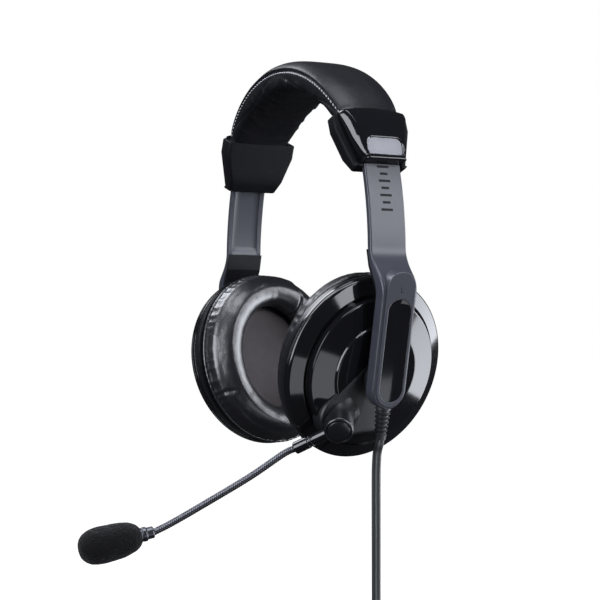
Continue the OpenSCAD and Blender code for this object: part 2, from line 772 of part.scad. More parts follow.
module cup_screws() {
  color(steel) posts() {
    translate([0, 0, baffle_z]) cylinder(r = screw_head_r, h = screw_head_h);
    translate([0, 0, baffle_z]) cylinder(r = screw_r, h = baffle_t + 3.5);
  }
}
module left_cup_shell() { left_cup() cup_shell(); }
module left_baffle() { left_cup() baffle(); }
module left_driver() { left_cup() driver(); }
module left_speaker_cloth() { left_cup() speaker_cloth(); }
module left_ear_cushion() { left_cup() ear_cushion(); }
module left_cup_screws() { left_cup() cup_screws(); }
module right_cup_shell() { right_cup() cup_shell(); }
module right_baffle() { right_cup() baffle(); }
module right_driver() { right_cup() driver(); }
module right_speaker_cloth() { right_cup() speaker_cloth(); }
module right_ear_cushion() { right_cup() ear_cushion(); }
module right_cup_screws() { right_cup() cup_screws(); }

// Boom microphone
function turn_dir() = let (s = sin(knob_tilt)) [s * cos(knob_turn), -s * sin(knob_turn), cos(knob_tilt)];
knob_dir = left_point(turn_dir()) - left_point([0, 0, 0]);
knob_foot = left_point(knob_base);
knob_c = knob_foot + knob_dir * (neck_h + knob_h / 2 + turn_gap);
boom_points = [for (p = boom_line) knob_c + p];
boom_dir = unit(boom_line[0]);
bend_c = boom_points[bend_at];
mic_dir = unit(boom_tip - boom_line[len(boom_line) - 1]);
mic_c = boom_points[len(boom_points) - 1];
// Raised drop-shaped bracket that runs from the hub to the boom's pivot
module drop_outline() {
  a = [pivot_drop, 0];
  b = [knob_base.x, knob_base.y];
  d = norm(b - a);
  k = acos((mount_big_r - mount_r) / d);
  w = atan2(b.y - a.y, b.x - a.x);
  translate(a) circle(r = mount_big_r);
  translate(b) circle(r = mount_r);
  polygon([for (q = [[a, mount_big_r, k], [b, mount_r, k], [b, mount_r, -k], [a, mount_big_r, -k]])
    q[0] + q[1] * [cos(w + q[2]), sin(w + q[2])]]);
}
module boom_mount() {
  color(gloss) {
    difference() {
      union() {
        left_cup() difference() {
          translate([0, 0, 1]) linear_extrude(shell_h + mount_rise - 1) drop_outline();
          translate([pivot_drop, 0, 0]) cylinder(r = hub_r + hub_room, h = 30);
        }
        aim(knob_foot, knob_dir) translate([0, 0, -4]) cylinder(r = knob_r - 0.8, h = neck_h + 4);
      }
      left_cup() rotate_extrude($fn = 128) mount_bed();
      aim(knob_foot, knob_dir) translate([0, 0, neck_h]) cylinder(r = knob_r + lay_gap, h = knob_h);
    }
    aim(knob_foot, knob_dir) translate([0, 0, neck_h - e]) cylinder(r = swivel_r, h = pin_l);
  }
}
// The shell's outer face as the bracket's bed
module mount_bed() {
  polygon(concat([[0, -1]], shell_face(0), [[shell_r, -1]]));
}
module boom_knob() {
  color(gloss) aim(knob_foot, knob_dir) translate([0, 0, neck_h + turn_gap]) difference() {
    rotate_extrude() polygon([[0, 0], [knob_r - 0.6, 0], [knob_r, 0.6], [knob_r, knob_h - 0.8],
      [knob_r - 0.8, knob_h], [0, knob_h]]);
    translate([0, 0, -1]) cylinder(r = swivel_r + turn_gap, h = pin_l + 1 + lay_gap);
    translate([0, 0, knob_h - 1]) cylinder(r = cap_inset_r, h = 2);
    knob_side() cylinder(r = sleeve_r, h = 30);
  }
}
// Frame of the sleeve as seen from the knob: it starts beside the swivel pin
module knob_side() {
  d = boom_dir;
  z = knob_dir;
  t = [0, acos(z.z), atan2(z.y, z.x)];
  translate([0, 0, knob_h / 2]) rotate([0, -t[1], 0]) rotate([0, 0, -t[2]])
    rotate([0, acos(d.z), atan2(d.y, d.x)]) translate([0, 0, sleeve_in]) children();
}
module knob_cap() {
  color(rubber) aim(knob_foot, knob_dir) translate([0, 0, neck_h + turn_gap + knob_h - 1])
    rotate_extrude() intersection() {
      translate([0, -cap_dome_r + 1.9]) circle(r = cap_dome_r, $fn = 128);
      square([cap_inset_r, 3]);
    }
}
module boom_sleeve() {
  color(gloss) aim(knob_c, boom_dir) difference() {
    rotate_extrude() polygon(concat([[0, sleeve_in], [sleeve_r, sleeve_in]],
      [for (z = sleeve_grooves, c = [[0, 0], [1, 0], [1, 1], [0, 1]])
        [sleeve_r - sleeve_groove_d * c.x, z + sleeve_groove_w * c.y]],
      [[sleeve_r, sleeve_l - sleeve_edge], [sleeve_r - sleeve_edge, sleeve_l], [0, sleeve_l]]));
    translate([0, 0, sleeve_l - neck_grip - 0.1]) cylinder(r = neck_r, h = neck_grip + 1);
  }
}
// The gooseneck runs straight in the sleeve and in the collar, and on a smooth line between them
neck_out = knob_c + boom_dir * sleeve_l;
neck_line = concat([neck_out - boom_dir * neck_grip],
  smooth_line(concat([neck_out, neck_out + boom_dir * neck_lead], [for (i = [1:3]) boom_points[i]],
    [mic_c - mic_dir * collar_tail]), neck_steps), [mic_c]);
function length_to(p, i) = i == 0 ? 0 : length_to(p, i - 1) + norm(p[i] - p[i - 1]);
// A ribbed rod: two rings a rib, one proud and one sunk
module ribbed_rod(p) {
  rows = len(p);
  points = [for (i = [0:rows - 1]) each ring(p, i, neck_ref, rib_r(i, rows), rib_r(i, rows), neck_sides)];
  polyhedron(points, closed_skin(rows, neck_sides));
}
module neck_bore(from, to) {
  p = [for (i = [0:bore_rows]) neck_at(from + (to - from) * i / bore_rows)];
  tube(p, neck_ref, neck_bore_r, neck_bore_r, neck_sides);
}
function rib_r(i, rows) = neck_r - (i % 2 == 1 && i > 2 && i < rows - 3 ? rib_d : 0) - 0.05;
// Points at the rib pitch along a stretch of the gooseneck, between two distances
neck_lengths = [for (i = 0, s = 0; i < len(neck_line); i = i + 1,
    s = s + (i < len(neck_line) ? norm(neck_line[i] - neck_line[i - 1]) : 0)) s];
function neck_at(s) = let (
    i = max([for (k = [0:len(neck_line) - 2]) neck_lengths[k] <= s ? k : 0]),
    t = (s - neck_lengths[i]) / (neck_lengths[i + 1] - neck_lengths[i]))
  neck_line[i] + (neck_line[i + 1] - neck_line[i]) * t;
function neck_points(from, to) = let (n = 2 * round((to - from) / rib_pitch))
  [for (i = [0:n]) neck_at(from + (to - from) * i / n)];
neck_total = neck_lengths[len(neck_lengths) - 1];
bend_s = neck_lengths[1 + neck_steps * (bend_at + 1)];
module gooseneck_base() {
  color(rubber) difference() {
    ribbed_rod(neck_points(0, bend_s - bend_back));
    neck_bore(-1, bend_s);
    translate(bend_c) sphere(r = bend_ball + lay_gap, $fn = bend_fn);
  }
}
module gooseneck_tip() {
  color(rubber) difference() {
    union() {
      ribbed_rod(neck_points(bend_s + bend_ahead, neck_total));
      translate(bend_c) sphere(r = bend_ball, $fn = bend_fn);
    }
    neck_bore(bend_s + 3 * bend_ahead, neck_total + 1);
  }
}
module mic_collar() {
  color(steel) aim(mic_c, mic_dir) difference() {
    rotate_extrude() polygon([[0, -3.5], [neck_r + 0.8, -3.5], [neck_r + 1.2, -3], [neck_r + 1.2, 0],
      [3.6, 0.4],
      [3.6, collar_l], [0, collar_l]]);
    translate([0, 0, -4]) cylinder(r = neck_r, h = 4);
  }
}
module mic_housing() {
  color(gloss) aim(mic_c, mic_dir) translate([0, 0, collar_l]) difference() {
    cylinder(r = mic_r, h = housing_l);
    translate([0, 0, 2]) cylinder(r = mic_r - 0.9, h = housing_l);
  }
}
module mic_capsule() {
  color(steel) aim(mic_c, mic_dir) translate([0, 0, collar_l + housing_l - capsule_h])
    cylinder(r = mic_r - 0.9, h = capsule_h);
}
module windscreen() {
  color(rubber) aim(mic_c, mic_dir) translate([0, 0, foam_start]) difference() {
    rotate_extrude() intersection() {
      polygon([for (i = [0:24]) let (t = i / 24)
        [foam_width(t), foam_l * t]]);
      square([foam_r * 2, foam_l]);
    }
    translate([0, 0, -1]) cylinder(r = 3.6 + lay_gap / 3, h = collar_l - foam_start + 1);
    translate([0, 0, collar_l - foam_start - e]) cylinder(r = mic_r, h = housing_l + lay_gap);
  }
}
// Radius of the foam along its length: narrower at the collar, fattest past the middle
function foam_width(t) = let (round = pow(max(0, 1 - pow(abs(2 * t - 1), 3.4)), 0.42))
  foam_r * round * (0.86 + 0.14 * min(1, t / 0.6));

// Lead
relief_foot = arm_point([relief_x, 0, relief_z]);
relief_dir = unit(arm_point([1, 0, 0]) - arm_point([0, 0, 0]));
relief_end = relief_foot + relief_dir * relief_l;
module strain_relief() {
  pitch = (relief_l - 4) / relief_ribs;
  color(rubber) aim(relief_foot, relief_dir) {
    rotate_extrude() polygon(concat([[0, 0], [relief_r, 0], [relief_r, 2]],
      [for (i = [0:relief_ribs - 1], k = [0:3]) let (r = relief_r - 0.8 * i / relief_ribs)
        [k == 1 || k == 2 ? r - 0.7 : r, 2 + pitch * (i + k * 0.25)]],
      [[relief_r - 0.9, relief_l], [0, relief_l]]));
    relief_stub();
  }
}
module relief_stub() {
  translate([0, 0, -stub_l]) cylinder(r = stub_r, h = stub_l + e);
}
lead_route = concat([relief_end, relief_end + relief_dir * 3], lead_line);
module cord() {
  color(rubber) tube(smooth_line(lead_route, 2), lead_ref, lead_w / 2, lead_t / 2, 8);
}
// Hank: loops that spiral in through one layer and out through the next, drawn in at the waist
function hank_radius(t) = hank_in + hank_step * abs(hank_turns - t);
function hank_bulge(z) = hank_draw * pow(cos(180 * z / hank_run), 2);
function hank_rise(t) = let (d = min(max((t - hank_turns) * 8, -1), 1))
  hank_layer * (0.5 + 0.5 * sin(90 * d));
// One point at turn t: a run down, the lower fold, a run up, the upper fold
function hank_point(t) = let (
    f = (t - floor(t)) * 8,
    r = hank_radius(t),
    half = hank_run / 2,
    side = f < 1 || f >= 7 ? 1 : f >= 3 && f < 5 ? -1 : 0,
    z = f < 1 ? -f * half : f >= 7 ? (8 - f) * half : f >= 3 && f < 5 ? (f - 4) * half : 0,
    w = f < 3 ? (f - 1) * 90 : (f - 5) * 90,
    x = side != 0 ? side * (r - hank_bulge(z)) : (f < 3 ? 1 : -1) * r * cos(w),
    h = side != 0 ? z : (f < 3 ? -1 : 1) * (half + r * sin(w)))
  [hank_x + x, hank_rise(t), hank_z + h];
hank_from = -1 / 8;
hank_to = 2 * hank_turns + 1 / 8;
hank_rings = 24;
hank_end = [hank_x + hank_out, hank_layer, split_z];
hank_path = concat([for (i = [0:(hank_to - hank_from) * hank_rings]) hank_point(hank_from + i / hank_rings)],
  [hank_end + [0, 0, lead_w], hank_end]);
// Least gap between stretches of the hank that lie a quarter turn or more apart, on its points
hank_gap = min([for (i = [0:len(hank_path) - 9], j = [i + 8:len(hank_path) - 1])
  let (d = hank_path[i] - hank_path[j]) max(abs(d.y) - lead_w, norm([d.x, d.z]) - lead_t)]);
echo(hank_least_gap = hank_gap, hank_length = length_to(hank_path, len(hank_path) - 1));
module cord_hank() {
  color(rubber) tube(hank_path, lead_ref, lead_w / 2, lead_t / 2, 6);
}
module hank_tie() {
  reach = hank_radius(0) - hank_bulge(tie_h / 2) + lead_t / 2 + lay_gap;
  size = [2 * reach, hank_layer + lead_w + 2 * lay_gap];
  color(gloss) translate([hank_x, hank_layer / 2, hank_z - tie_h / 2]) linear_extrude(tie_h) difference() {
    square(size + 2 * [tie_t, tie_t], center = true);
    square(size, center = true);
  }
}
module lead_splitter() {
  color(rubber) translate(hank_end - [0, 0, split_l]) cylinder(r = lead_w / 2 + 1.4, h = split_l);
}
function half_lead(s) = let (
    from = hank_end + [0, s * 1.6, -split_l],
    to = [from.x, hank_end.y + s * plug_apart / 2, plug_z],
    mid = hank_end + [0, s * 4.5, -split_l - single_l / 2])
  concat([from], smooth_line([from - [0, 0, 3], mid, to + [0, 0, 3]], 5), [to]);
module half_lead_tube(s) {
  color(rubber) tube(half_lead(s), [1, 0, 0], lead_t / 2, lead_t / 2, 8);
}
module headphone_lead() { half_lead_tube(-1); }
module microphone_lead() { half_lead_tube(1); }
// Plug: a barrel with a ring groove and a rounded tip, its tail moulded into a grip
module plug_place(s) {
  translate([hank_end.x, hank_end.y + s * plug_apart / 2, plug_z]) rotate([180, 0, 0]) children();
}
module plug_barrel(s, d) {
  color(steel) plug_place(s) {
    translate([0, 0, grip_l - plug_tail]) cylinder(r = plug_tail_r, h = plug_tail + e);
    translate([0, 0, grip_l]) cylinder(d = d, h = plug_l - plug_nose);
    translate([0, 0, grip_l]) cylinder(d = d - plug_groove, h = plug_l - d / 2);
    translate([0, 0, grip_l + plug_l - d / 2]) sphere(d = d - plug_groove / 2);
  }
}
module plug_grip(s) {
  color(rubber) plug_place(s) difference() {
    rotate_extrude() polygon([[0, 0], [lead_t, 0], [handle_r, 5], [handle_r, grip_l - 1],
      [handle_r - 1, grip_l], [0, grip_l]]);
    translate([0, 0, grip_l - plug_tail]) cylinder(r = plug_tail_r, h = plug_tail + 1);
  }
}
module headphone_plug() { plug_barrel(-1, phone_plug_d); }
module microphone_plug() { plug_barrel(1, mic_plug_d); }
module headphone_grip() { plug_grip(-1); }
module microphone_grip() { plug_grip(1); }

headband_spring();
headband_pad();
left_cap_outer();
left_cap_inner();
right_cap_outer();
right_cap_inner();
cap_screws();
left_arm();
left_arm_insert();
left_arm_cover();
left_arm_screws();
right_arm();
right_arm_insert();
right_arm_cover();
right_arm_screws();
left_pivot_bush();
right_pivot_bush();
left_cup_shell();
left_ball_stud();
left_baffle();
left_driver();
left_speaker_cloth();
left_ear_cushion();
left_cup_screws();
right_cup_shell();
right_ball_stud();
right_baffle();
right_driver();
right_speaker_cloth();
right_ear_cushion();
right_cup_screws();
boom_mount();
boom_knob();
knob_cap();
boom_sleeve();
gooseneck_base();
gooseneck_tip();
mic_collar();
mic_housing();
mic_capsule();
windscreen();
strain_relief();
cord();
cord_hank();
hank_tie();
lead_splitter();
headphone_lead();
microphone_lead();
headphone_plug();
microphone_plug();
headphone_grip();
microphone_grip();
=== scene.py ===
import math

import bpy
import numpy as np
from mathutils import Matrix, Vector, noise


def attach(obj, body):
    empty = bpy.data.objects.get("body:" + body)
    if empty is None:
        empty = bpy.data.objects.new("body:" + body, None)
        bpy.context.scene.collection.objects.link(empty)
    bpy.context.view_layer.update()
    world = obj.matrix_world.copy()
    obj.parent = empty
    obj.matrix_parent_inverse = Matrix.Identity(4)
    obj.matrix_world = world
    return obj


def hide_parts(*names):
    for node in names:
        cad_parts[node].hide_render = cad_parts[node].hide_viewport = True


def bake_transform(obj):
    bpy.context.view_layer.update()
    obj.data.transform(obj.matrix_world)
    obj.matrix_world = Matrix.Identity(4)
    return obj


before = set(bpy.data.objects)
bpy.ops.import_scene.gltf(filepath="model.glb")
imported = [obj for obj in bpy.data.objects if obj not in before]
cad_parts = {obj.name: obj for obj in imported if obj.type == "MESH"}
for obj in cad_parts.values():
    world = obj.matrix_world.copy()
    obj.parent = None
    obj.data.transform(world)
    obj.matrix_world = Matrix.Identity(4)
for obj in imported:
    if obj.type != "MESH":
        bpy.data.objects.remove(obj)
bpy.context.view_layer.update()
MM = 0.001
scene = bpy.context.scene

# Places and sizes, in millimetres, as in the part's source
ARCH_R, ARCH_Z = 80.0, -65.0
PAD_W, PAD_T, PAD_END_T, PAD_END = 34.0, 15.0, 10.0, 30.0
PAD_SWELL, PAD_RISE, PAD_CROWN = 4.0, 1.6, 1.4
STRAP_R, STRAP_T, STRAP_LEAN = 162.0, 3.0, 14.0
STRAP_OFF, STRAP_DROP = 2.2, 22.0
CAP_LEAN, CAP_TOP_ANGLE = 20.0, 40.0
ARM_LEAN = 12.0
PIVOT_AT = np.array([5.0, 0, 16.0])
PIVOT_DROP = np.array([1.0, 0, 16.0])
CLICK = 3.6
LEFT_TILT, LEFT_YAW, RIGHT_YAW = 4, -6, 8


def unit(v):
    v = np.asarray(v, float)
    return v / np.linalg.norm(v)


def turn_x(degrees):
    """Rows are the turned axes, so that points @ turn gives the turned points."""
    c, n = math.cos(math.radians(degrees)), math.sin(math.radians(degrees))
    return np.array([[1, 0, 0], [0, c, n], [0, -n, c]])


def turn_y(degrees):
    c, n = math.cos(math.radians(degrees)), math.sin(math.radians(degrees))
    return np.array([[c, 0, -n], [0, 1, 0], [n, 0, c]])


def on_arc(radius, degrees):
    """A point of an upright arc about the origin."""
    return np.array([radius * math.cos(math.radians(degrees)), 0, radius * math.sin(math.radians(degrees))])


CAP_LOW = on_arc(ARCH_R, PAD_END) + [STRAP_OFF, 0, ARCH_Z - STRAP_DROP]
STRAP_C = CAP_LOW - on_arc(STRAP_R, STRAP_LEAN)
PIVOT = CAP_LOW + [2.11, 0, -101.72]
LEFT_TURN = turn_y(LEFT_TILT) @ turn_x(LEFT_YAW) @ turn_y(90 + ARM_LEAN)
RIGHT_TURN = turn_x(RIGHT_YAW) @ turn_y(90 + ARM_LEAN)


def cap(points):
    """From the left end cap's frame (x outwards, z up along it) to the row frame."""
    return np.asarray(points, float) @ turn_y(-CAP_LEAN) + CAP_LOW


def to_right(points):
    """The right arm: the left one moved a click up along the strap and mirrored."""
    return ((np.asarray(points, float) - STRAP_C) @ turn_y(math.degrees(-CLICK / STRAP_R)) + STRAP_C) * [-1, 1, 1]


def left_arm(points):
    """From the left lower arm's frame (x down it, y back, z outwards) to the row frame."""
    return (np.asarray(points, float) - PIVOT_AT) @ turn_y(90 + ARM_LEAN) + PIVOT


def right_arm(points):
    return to_right(left_arm(points))


def left_cup(points):
    """From the left cup's frame (x down, y back, z outwards) to the row frame."""
    return (np.asarray(points, float) - PIVOT_DROP) @ LEFT_TURN + PIVOT


def right_cup(points):
    return to_right((np.asarray(points, float) - PIVOT_DROP) @ RIGHT_TURN + PIVOT)


ARMS = (("left", left_arm), ("right", right_arm))
CUPS = (("left", left_cup), ("right", right_cup))


def mirrored(points):
    return np.asarray(points, float) * [-1, 1, 1]


def along(origin, direction):
    """A function that puts local points with their z along a direction."""
    z = unit(direction)
    x = unit(np.cross([0, 1, 0], z))
    y = np.cross(z, x)
    return lambda p: np.asarray(p, float) @ np.array([x, y, z]) + np.asarray(origin, float)


# Camera first, fitted to the photograph
AZ, EL, DIST = math.radians(60.73), math.radians(-1.21), 882.09
FOCAL_PX, PHOTO_PX, SENSOR = 1671.92, 600, 36
back = Vector((math.sin(AZ) * math.cos(EL), -math.cos(AZ) * math.cos(EL), math.sin(EL)))
right = Vector((math.cos(AZ), math.sin(AZ), 0))
up = back.cross(right)
target = Vector((0, 0, -100)) + right * -5.17 + up * -8.45
cam_data = bpy.data.cameras.new("camera")
cam_data.sensor_width = SENSOR
cam_data.lens = SENSOR * FOCAL_PX / PHOTO_PX
cam_data.clip_start, cam_data.clip_end = 0.01, 100
camera = bpy.data.objects.new("camera", cam_data)
scene.collection.objects.link(camera)
camera.location = (target + back * DIST) * MM
camera.rotation_mode = "QUATERNION"
camera.rotation_quaternion = (-back).to_track_quat("-Z", "Y")
scene.camera = camera


# Meshes
def piece(name, points, faces, material, body, replaces=(), flip=False, smooth=True):
    mesh = bpy.data.meshes.new(name)
    faces = [tuple(reversed(f)) for f in faces] if flip else faces
    mesh.from_pydata([tuple(p) for p in np.asarray(points) * MM], [], faces)
    mesh.polygons.foreach_set("use_smooth", [smooth] * len(mesh.polygons))
    mesh.materials.append(material)
    obj = bpy.data.objects.new(name, mesh)
    scene.collection.objects.link(obj)
    if replaces:
        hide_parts(*replaces)
    if body:
        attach(obj, body)
    return obj


def grid_faces(rows, cols, close_rows=False):
    faces = []
    for i in range(rows if close_rows else rows - 1):
        for k in range(cols):
            a, b = i * cols + k, i * cols + (k + 1) % cols
            c, d = ((i + 1) % rows) * cols + (k + 1) % cols, ((i + 1) % rows) * cols + k
            faces.append((a, b, c, d))
    return faces


def loft(rings, cap_first=True, cap_last=True):
    """Points and faces of a stack of rings with as many points each."""
    rings = np.asarray(rings, float)
    n, m = rings.shape[:2]
    faces = grid_faces(n, m)
    points = list(rings.reshape(-1, 3))
    if cap_first:
        faces.append(tuple(reversed(range(m))))
    if cap_last:
        faces.append(tuple(range((n - 1) * m, n * m)))
    return points, faces


def merge(*parts):
    points, faces = [], []
    for p, f in parts:
        faces += [tuple(i + len(points) for i in q) for q in f]
        points += list(p)
    return np.array(points), faces


def fillet(profile, radii, steps=5):
    """A polyline whose inner corners are rounded to the given radii."""
    pts = [np.array(p, float) for p in profile]
    out = [pts[0]]
    for i in range(1, len(pts) - 1):
        r = radii if np.isscalar(radii) else radii[i]
        a, b, c = pts[i - 1], pts[i], pts[i + 1]
        u, v = unit(a - b), unit(c - b)
        d = min(r, 0.45 * np.linalg.norm(a - b), 0.45 * np.linalg.norm(c - b))
        if d < 1e-4:
            out.append(b)
            continue
        for t in np.linspace(0, 1, steps):
            out.append((1 - t) ** 2 * (b + u * d) + 2 * t * (1 - t) * b + t * t * (b + v * d))
    out.append(pts[-1])
    return out


def lathe(profile, segments=96, place=lambda p: p):
    """A turned piece from (radius, height) points; a radius of 0 closes an end."""
    turn = np.linspace(0, 2 * math.pi, segments, endpoint=False)
    rings = [np.stack([r * np.cos(turn), r * np.sin(turn), np.full(segments, z)], -1)
             for r, z in profile if r > 1e-6]
    points, faces = loft(rings, False, False)
    for end, ring in ((0, 0), (-1, len(rings) - 1)):
        if profile[end][0] <= 1e-6:
            points.append(np.array([0, 0, profile[end][1]]))
            for k in range(segments):
                a, b = ring * segments + k, ring * segments + (k + 1) % segments
                faces.append((len(points) - 1, b, a) if end == 0 else (len(points) - 1, a, b))
    return place(np.array(points)), faces


def harden(obj):
    """Flat faces stay flat beside their rounded edges."""
    mod = obj.modifiers.new("normals", "WEIGHTED_NORMAL")
    mod.keep_sharp = True


def smooth_line(points, n):
    """Points along a smooth line through the given ones, n to a stretch."""
    p = [np.array(q, float) for q in points]
    out = []
    for i in range(len(p) - 1):
        a, b, c, d = p[max(i - 1, 0)], p[i], p[i + 1], p[min(i + 2, len(p) - 1)]
        for k in range(n):
            t = k / n
            out.append(0.5 * (2 * b + (c - a) * t + (2 * a - 5 * b + 4 * c - d) * t ** 2
                              + (3 * b - a - 3 * c + d) * t ** 3))
    return np.array(out + [p[-1]])


def distances(line):
    """Distance along a line at each of its points."""
    return np.concatenate([[0], np.cumsum(np.linalg.norm(np.diff(line, axis=0), axis=1))])


def resample(line, at):
    """Points of a line at the given distances along it."""
    s = distances(line)
    return np.stack([np.interp(at, s, line[:, k]) for k in range(line.shape[1])], -1)


def tube(path, section, ref):
    """A tube along a path; section gives (along ref, across it) offsets, one ring or one a point."""
    path = np.asarray(path, float)
    rings = []
    for i, p in enumerate(path):
        t = unit(path[min(i + 1, len(path) - 1)] - path[max(i - 1, 0)])
        v = unit(np.cross(t, ref))
        u = np.cross(v, t)
        s = np.asarray(section[i] if np.ndim(section) == 3 else section)
        rings.append(p + s[:, :1] * u + s[:, 1:] * v)
    return loft(rings)


def circle(n, a, b=None):
    w = np.linspace(0, 2 * math.pi, n, endpoint=False)
    return np.stack([a * np.cos(w), (a if b is None else b) * np.sin(w)], -1)


def wave(x, y, z, scale, seed=0.0):
    """Smooth noise between about -1 and 1 at points in millimetres."""
    x, y, z = np.broadcast_arrays(x, y, z)
    values = [noise.noise(Vector((a / scale + seed, b / scale, c / scale)))
              for a, b, c in zip(x.ravel(), y.ravel(), z.ravel())]
    return np.array(values).reshape(x.shape)


# Materials
def material(name, color, roughness, metallic=0.0, grain=0.0, grain_scale=900.0, vary=0.04, bump=0.1,
             sheen=0.0, cells=False, specular=0.5, shade=0.12, crease=0.0, crease_scale=90.0):
    """A surface with fine grain, varied roughness and slightly varied colour, all from its nodes."""
    mat = bpy.data.materials.new(name)
    mat.use_nodes = True
    nodes, links = mat.node_tree.nodes, mat.node_tree.links
    bsdf = nodes["Principled BSDF"]
    bsdf.inputs["Metallic"].default_value = metallic
    bsdf.inputs["Sheen Weight"].default_value = sheen
    bsdf.inputs["Sheen Roughness"].default_value = 0.4
    bsdf.inputs["Specular IOR Level"].default_value = specular
    coords = nodes.new("ShaderNodeTexCoord")

    def texture(kind, scale, detail=4.0):
        tex = nodes.new(kind)
        tex.inputs["Scale"].default_value = scale
        if "Detail" in tex.inputs:
            tex.inputs["Detail"].default_value = detail
        links.new(coords.outputs["Object"], tex.inputs["Vector"])
        return tex

    broad = texture("ShaderNodeTexNoise", 45.0)
    ramp = nodes.new("ShaderNodeMapRange")
    ramp.inputs["To Min"].default_value = max(0.0, roughness - vary)
    ramp.inputs["To Max"].default_value = roughness + vary
    links.new(broad.outputs["Fac"], ramp.inputs["Value"])
    links.new(ramp.outputs["Result"], bsdf.inputs["Roughness"])
    tint = nodes.new("ShaderNodeMix")
    tint.data_type = "RGBA"
    tint.inputs["A"].default_value = (*[c * (1 - shade) for c in color], 1)
    tint.inputs["B"].default_value = (*[min(1, c * (1 + shade)) for c in color], 1)
    fine = texture("ShaderNodeTexNoise", 160.0, 6.0)
    links.new(fine.outputs["Fac"], tint.inputs["Factor"])
    links.new(tint.outputs["Result"], bsdf.inputs["Base Color"])
    normal = None
    if grain:
        tex = texture("ShaderNodeTexVoronoi" if cells else "ShaderNodeTexNoise", grain_scale)
        b = nodes.new("ShaderNodeBump")
        b.inputs["Strength"].default_value = grain
        b.inputs["Distance"].default_value = bump * MM
        links.new(tex.outputs["Distance" if cells else "Fac"], b.inputs["Height"])
        normal = b
    if crease:
        tex = texture("ShaderNodeTexNoise", crease_scale, 5.0)
        b = nodes.new("ShaderNodeBump")
        b.inputs["Strength"].default_value = crease
        b.inputs["Distance"].default_value = 1.0 * MM
        links.new(tex.outputs["Fac"], b.inputs["Height"])
        if normal:
            links.new(normal.outputs["Normal"], b.inputs["Normal"])
        normal = b
    if normal:
        links.new(normal.outputs["Normal"], bsdf.inputs["Normal"])
    return mat


GLOSS = material("gloss_black", (0.006, 0.006, 0.0075), 0.075, grain=0.05, grain_scale=60.0, vary=0.03,
                 bump=0.15)
SATIN_BLACK = material("satin_black", (0.008, 0.008, 0.010), 0.30, grain=0.25, grain_scale=1800.0, bump=0.03)
GREY = material("satin_grey", (0.038, 0.040, 0.052), 0.34, grain=0.22, grain_scale=2200.0, bump=0.02,
                vary=0.05, shade=0.05)
LEATHER = material("leatherette", (0.006, 0.006, 0.0085), 0.33, specular=1.0, grain=0.22, grain_scale=1300.0,
                   bump=0.12, vary=0.07, cells=True, crease=0.25, crease_scale=110.0)
CLOTH = material("speaker_cloth", (0.062, 0.054, 0.057), 0.92, sheen=0.25, shade=0.25)
# lighter grey for the scoop's floor: a painted highlight standing for the light it catches, not the cap's own colour
SCOOP_PAINTED_HIGHLIGHT = material("scoop_painted_highlight", (0.15, 0.15, 0.172), 0.25, grain=0.2, grain_scale=1600.0, bump=0.03)
FOAM = material("foam", (0.0045, 0.0044, 0.0052), 0.95, grain=1.0, grain_scale=900.0, bump=0.45, cells=True,
                sheen=0.12, shade=0.4, specular=0.15)
RUBBER = material("lead_rubber", (0.013, 0.013, 0.015), 0.42, grain=0.2, grain_scale=1500.0, bump=0.03)
GUNMETAL = material("gunmetal", (0.10, 0.102, 0.115), 0.30, metallic=0.85, grain=0.15, grain_scale=1500.0,
                    bump=0.02)
STEEL = material("bright_steel", (0.40, 0.41, 0.44), 0.24, metallic=1.0, grain=0.08, grain_scale=700.0, bump=0.02)
THREAD = material("thread", (0.55, 0.55, 0.58), 0.7, grain=0.6, grain_scale=3000.0, bump=0.05)
# dark for the side letter, and for the click marks as painted shade of their grooves
LETTER_AND_GROOVE_SHADE = material("letter_and_painted_groove_shade", (0.005, 0.005, 0.006), 0.6, grain=0.2, grain_scale=2000.0, bump=0.02,
                specular=0.2)
MATT_BLACK = material("matt_black", (0.006, 0.006, 0.0075), 0.5, grain=0.5, grain_scale=1600.0, bump=0.06,
                      specular=0.1)
SOFT_BLACK = material("soft_black", (0.008, 0.008, 0.010), 0.42, grain=0.3, grain_scale=1600.0, bump=0.04,
                      specular=0.45)
PAD = material("pad_leatherette", (0.006, 0.006, 0.008), 0.42, specular=0.3, grain=0.30, grain_scale=1100.0,
               bump=0.12, vary=0.07, cells=True, crease=0.25, crease_scale=110.0)

# fine weave of the speaker cloth, from two crossed waves
nodes, links = CLOTH.node_tree.nodes, CLOTH.node_tree.links
coords = nodes.new("ShaderNodeTexCoord")
weave = []
for axis in ("Y", "Z"):
    w = nodes.new("ShaderNodeTexWave")
    w.bands_direction = axis
    w.inputs["Scale"].default_value = 900.0
    w.inputs["Distortion"].default_value = 0.6
    links.new(coords.outputs["Object"], w.inputs["Vector"])
    weave.append(w)
both = nodes.new("ShaderNodeMath")
both.operation = "ADD"
links.new(weave[0].outputs["Fac"], both.inputs[0])
links.new(weave[1].outputs["Fac"], both.inputs[1])
b = nodes.new("ShaderNodeBump")
b.inputs["Strength"].default_value = 0.5
b.inputs["Distance"].default_value = 0.1 * MM
links.new(both.outputs["Value"], b.inputs["Height"])
links.new(b.outputs["Normal"], nodes["Principled BSDF"].inputs["Normal"])

# Lead: hanging stretch and hank, one flat twin tube
LEAD_W, LEAD_T = 5.0, 2.6
LEAD_X, LEAD_END = 66.0, -294.0
HANK_IN, HANK_STEP, HANK_TURNS = 15.0, 3.8, 3
HANK_LAYER, HANK_RUN, HANK_DRAW = LEAD_W + 0.6, 36.0, 5.0
HANK_Z = LEAD_END - HANK_RUN / 2
HANK_OUT = HANK_IN + HANK_STEP * (HANK_TURNS + 1 / 8)
HANK_X = LEAD_X - HANK_OUT
RELIEF_FOOT = left_arm([17.4, 0, 18.0])
RELIEF_DIR = unit(left_arm([1, 0, 0]) - left_arm([0, 0, 0]))
RELIEF_L = 17.0


